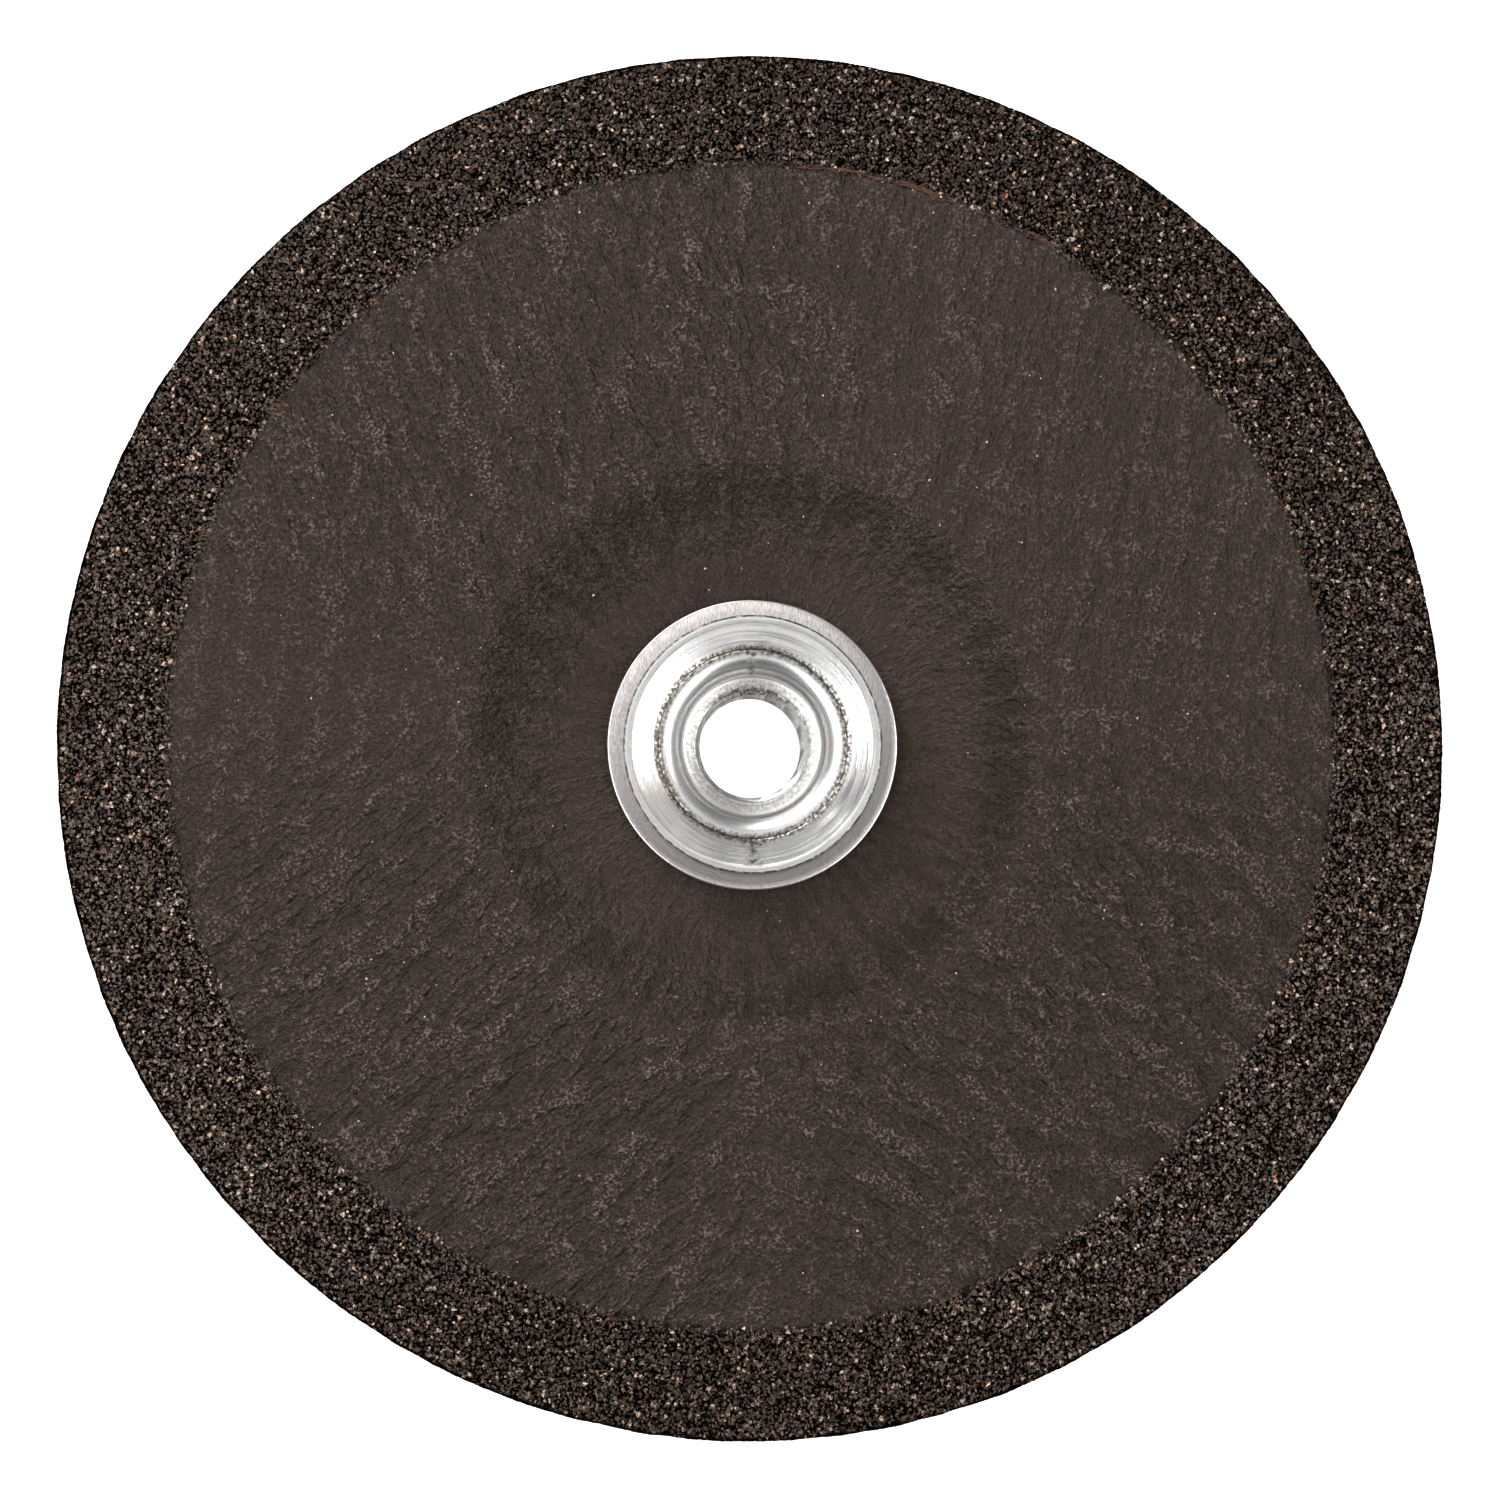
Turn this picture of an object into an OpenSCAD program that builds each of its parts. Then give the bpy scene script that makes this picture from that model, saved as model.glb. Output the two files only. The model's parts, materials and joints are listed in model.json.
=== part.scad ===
// Depressed-centre grinding disc with a spin-on hub.
// The axis of the disc is Z. The disc lies with its work face up and stands on the
// end of its hub, so z = 0 is the end of the hexagon on the machine side.
// Every round piece is a profile in radius and height, turned around the axis.

/* [Wheel] */
// Outside diameter of the wheel
wheel_d = 180; // [150:1:230]
// Thickness of the wheel, the same at the rim and in the sunken centre
wheel_t = 6.4; // [4:0.1:9]
// Radius on both corners of the rim
rim_round = 0.9; // [0.3:0.1:1.5]
// Diameter of the hole in the abrasive for the hub
arbor_d = 22.2; // [20:0.1:25.4]

/* [Sunken centre] */
// Depth of the sunken centre below the work face
dish_depth = 4.6; // [3:0.1:7]
// Diameter of the flat floor of the sunken centre
dish_floor_d = 50.6; // [49:0.2:60]
// Diameter at which the slope meets the work face
dish_mouth_d = 74; // [68:1:90]
// Inside radius of the two bends of the slope
dish_bend_r = 5; // [2:0.5:8]

/* [Face liner] */
// Width of the bare grain band, from the rim to the lining paper
grain_band_w = 14.5; // [8:0.5:30]
// Thickness of the lining paper
liner_t = 0.3; // [0.2:0.05:0.6]

/* [Glass cloth] */
// How far the cloth reaches past the edge of the lining paper
cloth_margin = 0.6; // [0.2:0.1:2]
// Thickness of the resin film that holds the strands
film_t = 0.1; // [0.05:0.05:0.3]
// Height of one strand above the film
strand_h = 0.12; // [0.05:0.01:0.3]
// Width of one strand
strand_w = 1.6; // [0.8:0.1:2.4]
// Distance from one warp strand to the next
warp_pitch = 5.6; // [4:0.1:8]
// Distance from one weft strand to the next
weft_pitch = 5.3; // [4:0.1:8]
// Angle of the warp to the Y axis, negative for clockwise as seen from the work side
cloth_turn = -8; // [-45:1:45]
// Gap between the edge of the cloth and the grain around it
edge_gap = 0.3; // [0.1:0.1:0.6]

/* [Washer] */
// Outside diameter of the washer under the lip
washer_d = 37.9; // [36:0.1:46]
// Thickness of the washer
washer_t = 1.5; // [1:0.1:2.5]
// Bevel on the outer edge of the washer
washer_bevel = 0.25; // [0.1:0.05:0.5]

/* [Hub flange and hexagon] */
// Width across the flats of the hexagon
hex_af = 27; // [24:0.5:32]
// Height of the hexagon
hex_h = 8.4; // [5:0.1:14]
// Distance from the flats to the edge of the hexagon's flat end
hex_bevel = 0.6; // [0.2:0.1:1.2]
// Diameter of the flange against the back of the wheel
flange_d = 44; // [40:0.5:46]
// Thickness of the flange beside the hexagon
flange_t = 2.6; // [2:0.1:5]
// Thickness of the flange at its edge
flange_edge_t = 1.5; // [1:0.1:1.9]
// Size of the bevel in the corner between the hexagon and the flange
flange_foot = 1; // [0.4:0.1:1.5]

/* [Hub barrel and bore] */
// Clearance of the barrel in the wheel, on each side
barrel_fit = 0.1; // [0.02:0.02:0.3]
// Minor diameter of the thread, the bore that the spindle screws into
thread_minor_d = 13.6; // [12:0.05:14]
// Depth of the lead-in bevel at the machine end of the thread
lead_in = 1.2; // [0.5:0.1:2]
// Bevel between the thread and the floor of the counterbore
thread_bevel = 0.6; // [0.3:0.1:1]
// Wall of the skirt above the thread, which is spun out into the lip
skirt_t = 2.05; // [1.6:0.05:2.4]
// Straight depth of the counterbore below the flare
counterbore_h = 1.8; // [0.5:0.1:3]
// Fall of the counterbore's floor towards the thread
counterbore_fall = 0.4; // [0.1:0.1:0.8]

/* [Spun lip] */
// Outside diameter of the lip
lip_d = 33.6; // [31:0.1:35]
// Thickness of the lip where the flare ends
lip_t = 1.6; // [1.2:0.1:2.2]
// Rise of the lip from the flare to its edge
lip_rise = 0.7; // [0.3:0.1:1]
// Radius of the flare from the counterbore to the lip
flare_r = 3.1; // [2.6:0.1:3.4]
// Width of the rolled edge of the lip
roll_w = 0.9; // [0.7:0.1:1.5]
// Radius of the rolled edge
roll_r = 0.55; // [0.3:0.05:0.65]
// Depth of the score that the spinning tool leaves at the end of the flare
score_h = 0.12; // [0.05:0.01:0.2]
// Width of that score
score_w = 0.5; // [0.3:0.05:0.8]
// Gap between the washer and the edge of the lip
lip_lift = 0.3; // [0.1:0.05:0.5]
// Width of the stretch of the lip that stands clear of the washer
lip_clear_w = 1.8; // [0.5:0.1:3]

/* [Hidden] */

$fn = 96;
bend_steps = 6;
rim_steps = 5;
flare_steps = 10;
// How far a cut runs past the surface that it opens
cut_past = 1;
// How far the strands end short of the cloth's edge and of its plain part
strand_end_gap = 0.3;

// Heights from the end of the hexagon up
back_z = hex_h + flange_t;
floor_z = back_z + wheel_t;
work_z = floor_z + dish_depth;
washer_top_z = floor_z + washer_t;
flare_top_z = washer_top_z + lip_t;
lip_top_z = flare_top_z + lip_rise;
counterbore_z = flare_top_z - flare_r - counterbore_h;
thread_top_z = counterbore_z - counterbore_fall - thread_bevel;

// Radii that more than one piece uses
arbor_r = arbor_d / 2;
barrel_r = arbor_r - barrel_fit;
thread_r = thread_minor_d / 2;
counterbore_r = barrel_r - skirt_t;
flare_end_r = counterbore_r + flare_r;
lip_r = lip_d / 2;
liner_r = wheel_d / 2 - grain_band_w;
cloth_r = liner_r + cloth_margin;
inlay_r = cloth_r + edge_gap;

// The cloth is as thick as its film and a strand on either side of it
cloth_t = film_t + 2 * strand_h;
inlay_t = cloth_t + liner_t;

// Angle of the slope of the sunken centre
slope = atan2(dish_depth, (dish_mouth_d - dish_floor_d) / 2);
// How far a bend moves outward from the front of the wheel to its back
back_shift = wheel_t * tan(slope / 2);
// How far the outer bend reaches on each side of the mouth
mouth_reach = (dish_bend_r + wheel_t) * tan(slope / 2);
// Where the strands start to stand out of the cloth, clear of the bend
strands_from_r = dish_mouth_d / 2 + mouth_reach + strand_w;

// Points of the arc of radius r that rounds corner b of the path a, b, c
function rounded(a, b, c, r, steps) =
    let (
        to_a = (a - b) / norm(a - b),
        to_c = (c - b) / norm(c - b),
        half = acos(to_a * to_c) / 2,
        middle = (to_a + to_c) / norm(to_a + to_c),
        centre = b + middle * r / sin(half),
        from = b + to_a * r / tan(half) - centre,
        start = atan2(from[1], from[0]),
        turn = (to_a[0] * to_c[1] - to_a[1] * to_c[0]) > 0 ? -1 : 1,
        sweep = turn * (180 - 2 * half)
    )
    [for (i = [0:steps]) centre + r * [cos(start + sweep * i / steps), sin(start + sweep * i / steps)]];

// The dish from the centre hole out to end_r: floor, slope and level ring.
// The two bends have the given radii and lie shift further out than on the front.
function dish_line(start_r, end_r, level, shift, floor_bend, mouth_bend) =
    let (
        inner = [start_r, level],
        floor_end = [dish_floor_d / 2 + shift, level],
        mouth = [dish_mouth_d / 2 + shift, level + dish_depth],
        outer = [end_r, level + dish_depth]
    )
    concat(
        [inner],
        rounded(inner, floor_end, mouth, floor_bend, bend_steps),
        rounded(floor_end, mouth, outer, mouth_bend, bend_steps),
        [outer]
    );

// The line of the front face, lowered by drop
function front_line(start_r, end_r, drop) =
    dish_line(start_r, end_r, floor_z - drop, 0, dish_bend_r, dish_bend_r + wheel_t);

// The line of the back face
function back_line(start_r, end_r) =
    dish_line(start_r, end_r, back_z, back_shift, dish_bend_r + wheel_t, dish_bend_r);

// The same points from last to first
function reversed(points) = [for (i = [len(points) - 1:-1:0]) points[i]];

// A layer that lies in the dish, from bottom_drop up to top_drop below the front face
module layer(start_r, end_r, top_drop, bottom_drop) {
    rotate_extrude()
        polygon(concat(
            front_line(start_r, end_r, bottom_drop),
            reversed(front_line(start_r, end_r, top_drop))
        ));
}

// The moulded wheel: back, rounded rim, bare grain band, and the seat of cloth and liner
module abrasive_body() {
    rim_r = wheel_d / 2;
    rim_back = [rim_r, work_z - wheel_t];
    rim_front = [rim_r, work_z];
    band_end = [inlay_r, work_z];
    back = back_line(arbor_r, rim_r - 2 * rim_round);
    color([0.23, 0.19, 0.16])
        rotate_extrude()
            polygon(concat(
                back,
                rounded(back[len(back) - 1], rim_back, rim_front, rim_round, rim_steps),
                rounded(rim_back, rim_front, band_end, rim_round, rim_steps),
                [band_end],
                reversed(front_line(arbor_r, inlay_r, inlay_t))
            ));
}

// Parallel strands of one direction on the level ring of the cloth. They stand strand_h
// out of the film and are rooted in a third of its thickness.
module strands(pitch) {
    end_r = cloth_r - strand_end_gap;
    count = floor((end_r - strand_w) / pitch);
    linear_extrude(strand_h + film_t / 3)
        intersection() {
            difference() {
                circle(end_r);
                circle(strands_from_r + strand_end_gap);
            }
            for (i = [-count:count])
                translate([i * pitch - strand_w / 2, -wheel_d / 2])
                    square([strand_w, wheel_d]);
        }
}

// The glass cloth: a film with the warp above it and the weft below it. On the slope and
// the floor, where the mould presses the strands flat, it is plain and of full thickness.
module face_cloth() {
    bottom_z = work_z - inlay_t;
    film_z = bottom_z + strand_h;
    color([0.45, 0.31, 0.2])
        union() {
            rotate_extrude()
                polygon(concat(
                    front_line(arbor_r, strands_from_r, inlay_t),
                    [
                        [strands_from_r, film_z],
                        [cloth_r, film_z],
                        [cloth_r, film_z + film_t],
                        [strands_from_r, film_z + film_t]
                    ],
                    reversed(front_line(arbor_r, strands_from_r, liner_t))
                ));
            rotate(cloth_turn) {
                translate([0, 0, film_z + film_t * 2 / 3])
                    strands(warp_pitch);
                translate([0, 0, bottom_z])
                    rotate(90)
                        strands(weft_pitch);
            }
        }
}

// The lining paper, flush with the grain band
module face_liner() {
    color([0.29, 0.25, 0.23])
        layer(arbor_r, liner_r, 0, liner_t);
}

// The flat washer under the lip, with a bevel on its upper outer edge
module retaining_washer() {
    washer_r = washer_d / 2;
    color([0.74, 0.73, 0.72])
        rotate_extrude()
            polygon([
                [arbor_r, floor_z],
                [washer_r, floor_z],
                [washer_r, washer_top_z - washer_bevel],
                [washer_r - washer_bevel, washer_top_z],
                [arbor_r, washer_top_z]
            ]);
}

// The hexagon, with its corners bevelled at the machine end. It ends inside the flange.
module hexagon() {
    corner_r = hex_af / 2 / cos(30);
    face_r = hex_af / 2 - hex_bevel;
    top_z = hex_h + flange_t / 2;
    intersection() {
        cylinder(h = top_z, r = corner_r, $fn = 6);
        rotate_extrude()
            polygon([
                [0, 0],
                [face_r, 0],
                [corner_r + cut_past, (corner_r + cut_past - face_r) * tan(30)],
                [corner_r + cut_past, top_z],
                [0, top_z]
            ]);
    }
}

// The turned outside of the hub: flange, barrel through the wheel and spun lip
module hub_outside() {
    flange_r = flange_d / 2;
    flat_r = hex_af / 2;
    cone = (flange_t - flange_edge_t) / (flange_r - flat_r);
    under_lip = [lip_r, washer_top_z + lip_lift];
    lip_edge = [lip_r, lip_top_z];
    lip_back = [lip_r - roll_w, lip_top_z];
    rotate_extrude()
        polygon(concat(
            [
                [0, hex_h - 2 * flange_foot],
                [flat_r - flange_foot, hex_h - 2 * flange_foot],
                [flat_r + flange_foot, hex_h + flange_foot * cone],
                [flange_r, back_z - flange_edge_t],
                [flange_r, back_z],
                [barrel_r, back_z],
                [barrel_r, washer_top_z],
                [lip_r - lip_clear_w, washer_top_z],
                under_lip
            ],
            rounded(under_lip, lip_edge, lip_back, roll_r, rim_steps),
            [
                lip_back,
                [0, lip_top_z]
            ]
        ));
}

// Everything that is open through the hub, from the machine end to the lip: lead-in,
// thread, counterbore, flare with its score, and the dished face of the lip
module hub_inside() {
    lip_face_r = lip_r - roll_w;
    lead_r = thread_r + lead_in;
    rotate_extrude()
        polygon(concat(
            [
                [0, -cut_past],
                [lead_r, -cut_past],
                [lead_r, 0],
                [thread_r, lead_in],
                [thread_r, thread_top_z],
                [thread_r + thread_bevel, thread_top_z + thread_bevel],
                [counterbore_r, counterbore_z]
            ],
            [for (i = [0:flare_steps])
                let (a = 180 - 90 * i / flare_steps)
                [flare_end_r + flare_r * cos(a), flare_top_z - flare_r + flare_r * sin(a)]],
            [
                [flare_end_r + score_w / 2, flare_top_z - score_h],
                [flare_end_r + score_w, flare_top_z],
                [lip_face_r, lip_top_z],
                [lip_face_r, lip_top_z + cut_past],
                [0, lip_top_z + cut_past]
            ]
        ));
}

module spindle_hub() {
    color([0.8, 0.8, 0.8])
        difference() {
            union() {
                hexagon();
                hub_outside();
            }
            hub_inside();
        }
}

abrasive_body();
face_cloth();
face_liner();
retaining_washer();
spindle_hub();
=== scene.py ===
"""Looks of a depressed-centre grinding disc with a spin-on hub.

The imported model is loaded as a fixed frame. Its moulded wheel, lining paper, washer and hub are
replaced by finer surfaces of the same form, worked out with numpy, and the cloth between wheel and
paper keeps its solid. Shapes are worked out in millimetres and written to the meshes in metres.
"""

import json
import logging
import math
from dataclasses import dataclass, field
from enum import Enum

import bpy
import numpy as np
from mathutils import Matrix, Vector


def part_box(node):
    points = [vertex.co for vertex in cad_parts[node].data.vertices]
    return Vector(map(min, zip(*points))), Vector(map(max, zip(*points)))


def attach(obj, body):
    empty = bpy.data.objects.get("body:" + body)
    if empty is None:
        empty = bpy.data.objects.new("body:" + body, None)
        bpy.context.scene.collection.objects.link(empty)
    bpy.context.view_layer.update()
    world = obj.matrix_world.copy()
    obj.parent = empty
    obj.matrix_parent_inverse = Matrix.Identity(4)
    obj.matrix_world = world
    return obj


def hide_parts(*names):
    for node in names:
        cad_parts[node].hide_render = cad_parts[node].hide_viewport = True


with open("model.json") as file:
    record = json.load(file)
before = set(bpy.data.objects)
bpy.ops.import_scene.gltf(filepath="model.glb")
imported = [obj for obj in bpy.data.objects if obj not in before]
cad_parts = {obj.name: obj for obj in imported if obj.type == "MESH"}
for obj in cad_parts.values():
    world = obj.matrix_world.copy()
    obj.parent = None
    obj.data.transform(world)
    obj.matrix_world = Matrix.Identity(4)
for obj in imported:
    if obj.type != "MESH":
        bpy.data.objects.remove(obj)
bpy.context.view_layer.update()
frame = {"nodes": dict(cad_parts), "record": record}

MM = 0.001
TURN = 2 * math.pi
LOG = logging.getLogger("grinding_disc")
FOLD_RUNS = ((48.0, 75.0, 0.5), (122.0, 113.0, 0.95), (225.0, 43.0, 1.1), (315.0, 137.0, 0.9))
"""Middle of each quarter of the disc and the direction of the paper's folds there, in degrees, and their strength."""


class Slot(Enum):
    """The record's material slots."""

    ABRASIVE = "abrasive"
    CLOTH = "glass_cloth"
    PAPER = "lining_paper"
    WASHER = "washer_steel"
    HUB = "hub_metal"


class Face(Enum):
    """The two faces of the wheel that carry loose-looking grain."""

    BAND = "band"
    RIM = "rim"


def smooth_ramp(low: float, high: float, x: np.ndarray) -> np.ndarray:
    """Ease from 0 at low to 1 at high along 3t^2 - 2t^3, where t is x's place between them.

    Args:
        low: Value of x at which the ramp leaves 0.
        high: Value of x at which it reaches 1. It may be the smaller one.
        x: Values to ease.

    Returns:
        The ramp, in the shape of x.
    """
    t = np.clip((x - low) / (high - low), 0.0, 1.0)
    return t * t * (3.0 - 2.0 * t)


def lattice_value(i: np.ndarray, j: np.ndarray, seed: int) -> np.ndarray:
    """Give each point of an integer lattice a fixed pseudo-random value.

    The two indices and the seed are mixed by multiplying and folding bits, and the last 16 bits
    become a number from -1 to 1.

    Args:
        i: First index of each point.
        j: Second index of each point.
        seed: Number that sets the pattern.

    Returns:
        One value for each point.
    """
    mixed = (i.astype(np.int64) * 374761393 + j.astype(np.int64) * 668265263 + seed * 974634777) & 0xFFFFFFFF
    mixed = ((mixed ^ (mixed >> 13)) * 1274126177) & 0xFFFFFFFF
    mixed = mixed ^ (mixed >> 16)
    return (mixed & 0xFFFF) / 32767.5 - 1.0


def noise(x: np.ndarray, y: np.ndarray, seed: int, wrap: int = 0) -> np.ndarray:
    """Smooth field from about -1 to 1, made of random slopes.

    Each lattice point has a slope in a random direction. The field is the rise along the slopes of
    the four points around (x, y), weighted by the eased distance along each axis.

    Args:
        x: First coordinate, in lattice steps.
        y: Second coordinate, in lattice steps.
        seed: Number that sets the pattern.
        wrap: Steps after which x repeats, or 0 for a field that never repeats.

    Returns:
        The field at each point.
    """
    i = np.floor(x)
    j = np.floor(y)
    fx = smooth_ramp(0.0, 1.0, x - i)
    fy = smooth_ramp(0.0, 1.0, y - j)
    total = np.zeros(np.broadcast(x, y).shape)
    for di in (0, 1):
        column = np.mod(i + di, wrap) if wrap else i + di
        weight_x = fx if di else 1 - fx
        for dj in (0, 1):
            weight = weight_x * (fy if dj else 1 - fy)
            heading = math.pi * lattice_value(column, j + dj, seed)
            total += weight * (np.cos(heading) * (x - i - di) + np.sin(heading) * (y - j - dj))
    return 1.5 * total


def layered_noise(x: np.ndarray, y: np.ndarray, seed: int, octaves: int = 3) -> np.ndarray:
    """Sum fields of noise, each at twice the frequency and half the height of the last.

    Args:
        x: First coordinate, in steps of the coarsest field.
        y: Second coordinate, in steps of the coarsest field.
        seed: Number that sets the pattern.
        octaves: How many fields are summed.

    Returns:
        The sum, from about -1 to 1.
    """
    total = np.zeros_like(x)
    for octave in range(octaves):
        step = 2.0**octave
        total += noise(x * step, y * step, seed + 31 * octave) / step
    return total / (2.0 - 2.0 ** (1 - octaves))


def rounded(a: tuple, b: tuple, c: tuple, radius: float, steps: int) -> list:
    """Points of the arc that rounds corner b of the path a, b, c.

    The arc's centre lies on the corner's bisector, radius / sin(half the corner) from b, and the
    arc touches each leg radius / tan(half the corner) from b.

    Args:
        a: Point before the corner, as radius and height.
        b: The corner.
        c: Point after the corner.
        radius: Radius of the arc.
        steps: Number of chords.

    Returns:
        steps + 1 points from the first leg to the second.
    """
    corner = np.array(b, dtype=float)
    to_a = np.array(a, dtype=float) - corner
    to_c = np.array(c, dtype=float) - corner
    to_a /= np.linalg.norm(to_a)
    to_c /= np.linalg.norm(to_c)
    half = math.acos(float(to_a @ to_c)) / 2
    bisector = (to_a + to_c) / np.linalg.norm(to_a + to_c)
    centre = corner + bisector * radius / math.sin(half)
    start = corner + to_a * radius / math.tan(half) - centre
    first = math.atan2(start[1], start[0])
    sign = -1.0 if to_a[0] * to_c[1] - to_a[1] * to_c[0] > 0 else 1.0
    angles = first + sign * (math.pi - 2 * half) * np.linspace(0.0, 1.0, steps + 1)
    return [tuple(centre + radius * np.array([math.cos(t), math.sin(t)])) for t in angles]


def spaced(points: list, step: float) -> list:
    """Add points to a path so that no leg is longer than step.

    Args:
        points: The path, as (radius, height) pairs.
        step: Longest leg allowed.

    Returns:
        The path with its legs divided evenly, its last point left out.
    """
    path = []
    for start, end in zip(points[:-1], points[1:]):
        length = math.dist(start, end)
        count = max(1, math.ceil(length / step))
        share = np.arange(count)[:, None] / count
        path += [tuple(p) for p in np.array(start) * (1 - share) + np.array(end) * share]
    return path


@dataclass
class Rings:
    """Rings of points round the axis, joined into one closed skin.

    Point k of a ring with n points lies at the angle 2 pi k / n. Neighbouring rings have the same
    number of points, or one has twice as many as the other, and the last ring joins the first.

    Attributes:
        radius: Radius of each ring.
        height: Height of each ring.
        columns: Number of points of each ring.
    """

    radius: np.ndarray
    height: np.ndarray
    columns: np.ndarray

    def spread(self) -> tuple[np.ndarray, np.ndarray, np.ndarray]:
        """Lay every point of every ring out in one array each of angle, radius and height."""
        first = np.repeat(np.cumsum(self.columns) - self.columns, self.columns)
        place = np.arange(self.columns.sum()) - first
        angle = TURN * place / np.repeat(self.columns, self.columns)
        return angle, np.repeat(self.radius, self.columns), np.repeat(self.height, self.columns)

    def faces(self) -> tuple[np.ndarray, np.ndarray]:
        """Join neighbouring rings by quads, or by three triangles where the columns double.

        Returns:
            Two index arrays, of the quads and of the triangles.
        """
        starts = np.cumsum(self.columns) - self.columns
        quads = []
        triangles = []
        for ring, start in enumerate(starts):
            after = (ring + 1) % len(starts)
            near, far = int(self.columns[ring]), int(self.columns[after])
            if near == far:
                k = np.arange(near)
                k1 = (k + 1) % near
                quads.append(np.stack([start + k, start + k1, starts[after] + k1, starts[after] + k], -1))
                continue
            coarse, fine = min(near, far), max(near, far)
            c0, f0 = (start, starts[after]) if near < far else (starts[after], start)
            k = np.arange(coarse)
            k1 = (k + 1) % coarse
            f = f0 + 2 * k
            f_mid = f + 1
            f_end = f0 + (2 * k + 2) % fine
            fan = np.concatenate([
                np.stack([c0 + k, f_mid, f], -1),
                np.stack([c0 + k, c0 + k1, f_mid], -1),
                np.stack([c0 + k1, f_end, f_mid], -1),
            ])
            triangles.append(fan if near < far else fan[:, ::-1])
        return np.concatenate(quads), np.concatenate(triangles) if triangles else np.zeros((0, 3), int)


def skin_volume(points: np.ndarray, faces: np.ndarray) -> float:
    """Volume that a closed skin holds: a sixth of the sum of a . (b x c) over its triangles.

    Args:
        points: Corner points.
        faces: Index array of triangles or quads.

    Returns:
        The signed volume, negative where the faces point inwards.
    """
    total = 0.0
    for k in range(1, faces.shape[1] - 1):
        a, b, c = points[faces[:, 0]], points[faces[:, k]], points[faces[:, k + 1]]
        total += float(np.einsum("ij,ij->", a, np.cross(b, c))) / 6
    return total


@dataclass
class Piece:
    """One mesh of the scene, before it is handed to Blender.

    Attributes:
        name: Name of the piece.
        points: Corner points in millimetres.
        faces: Index arrays of its triangles and quads.
        material: What it is dressed in.
        slot: The record's material slot that it belongs to.
        replaces: The CAD node that it stands for, if any.
        sharp_deg: Edges steeper than this stay sharp. 180 leaves the whole skin smooth.
        values: Named numbers for each point, which materials read.
        uv: Map coordinates for each corner of each face, in face order, if any.
    """

    name: str
    points: np.ndarray
    faces: list[np.ndarray]
    material: bpy.types.Material
    slot: Slot
    replaces: str = ""
    sharp_deg: float = 180.0
    values: dict[str, np.ndarray] = field(default_factory=dict)
    uv: np.ndarray | None = None

    def build(self) -> bpy.types.Object:
        """Write the mesh, turn its faces outwards and hang it on the disc.

        Returns:
            The new object, at the origin.
        """
        faces = [f for f in self.faces if len(f)]
        if sum(skin_volume(self.points, f) for f in faces) < 0:
            faces = [f[:, ::-1] for f in faces]
            self.uv = None if self.uv is None else self.uv[:, ::-1]
        mesh = bpy.data.meshes.new(self.name)
        mesh.vertices.add(len(self.points))
        mesh.vertices.foreach_set("co", (self.points * MM).astype(np.float32).ravel())
        loops = np.concatenate([f.ravel() for f in faces]).astype(np.int32)
        sizes = np.concatenate([np.full(len(f), f.shape[1]) for f in faces])
        mesh.loops.add(len(loops))
        mesh.loops.foreach_set("vertex_index", loops)
        mesh.polygons.add(len(sizes))
        mesh.polygons.foreach_set("loop_start", (np.cumsum(sizes) - sizes).astype(np.int32))
        mesh.polygons.foreach_set("use_smooth", np.ones(len(sizes), dtype=bool))
        for name, numbers in self.values.items():
            mesh.attributes.new(name, "FLOAT", "POINT").data.foreach_set("value", numbers.astype(np.float32))
        if self.uv is not None:
            mesh.uv_layers.new(name="turned").data.foreach_set("uv", self.uv.astype(np.float32).ravel())
        mesh.update(calc_edges=True)
        mesh.validate()
        if self.sharp_deg < 180.0:
            mesh.set_sharp_from_angle(angle=math.radians(self.sharp_deg))
        mesh.materials.append(self.material)
        made = bpy.data.objects.new(self.name, mesh)
        bpy.context.scene.collection.objects.link(made)
        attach(made, "root")
        if self.replaces:
            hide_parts(self.replaces)
        triangles = int((sizes - 2).sum())
        LOG.info("%s: %d points, %d triangles", self.name, len(self.points), triangles)
        return made


@dataclass(frozen=True)
class Dish:
    """The sunken centre, shared by the wheel and everything that lies in it.

    Attributes:
        floor_r: Radius of the flat floor.
        mouth_r: Radius at which the slope meets the level ring.
        bend_r: Inside radius of both bends.
        floor_z: Height of the floor of the front face.
        work_z: Height of the work face.
        back_z: Height of the back of the centre.
    """

    floor_r: float
    mouth_r: float
    bend_r: float
    floor_z: float
    work_z: float
    back_z: float

    @property
    def thickness(self) -> float:
        """Thickness of the wheel."""
        return self.floor_z - self.back_z

    @property
    def depth(self) -> float:
        """Depth of the floor below the work face."""
        return self.work_z - self.floor_z

    def line(self, start_r: float, end_r: float, drop: float, back: bool = False, steps: int = 12) -> list:
        """The face's path from the hole to the rim: floor, bend, slope, bend and level ring.

        Args:
            start_r: Radius at which the path starts.
            end_r: Radius at which it ends.
            drop: How far it lies below the face.
            back: True for the back face, whose bends lie further out.
            steps: Chords of each bend.

        Returns:
            The path, as (radius, height) pairs.
        """
        slope = math.atan2(self.depth, self.mouth_r - self.floor_r)
        shift = self.thickness * math.tan(slope / 2) if back else 0.0
        level = (self.back_z if back else self.floor_z) - drop
        outer_bend = self.bend_r + self.thickness
        inner = (start_r, level)
        foot = (self.floor_r + shift, level)
        mouth = (self.mouth_r + shift, level + self.depth)
        outer = (end_r, level + self.depth)
        floor_bend, mouth_bend = (outer_bend, self.bend_r) if back else (self.bend_r, outer_bend)
        return [
            inner,
            *rounded(inner, foot, mouth, floor_bend, steps),
            *rounded(foot, mouth, outer, mouth_bend, steps),
            outer,
        ]


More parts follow.
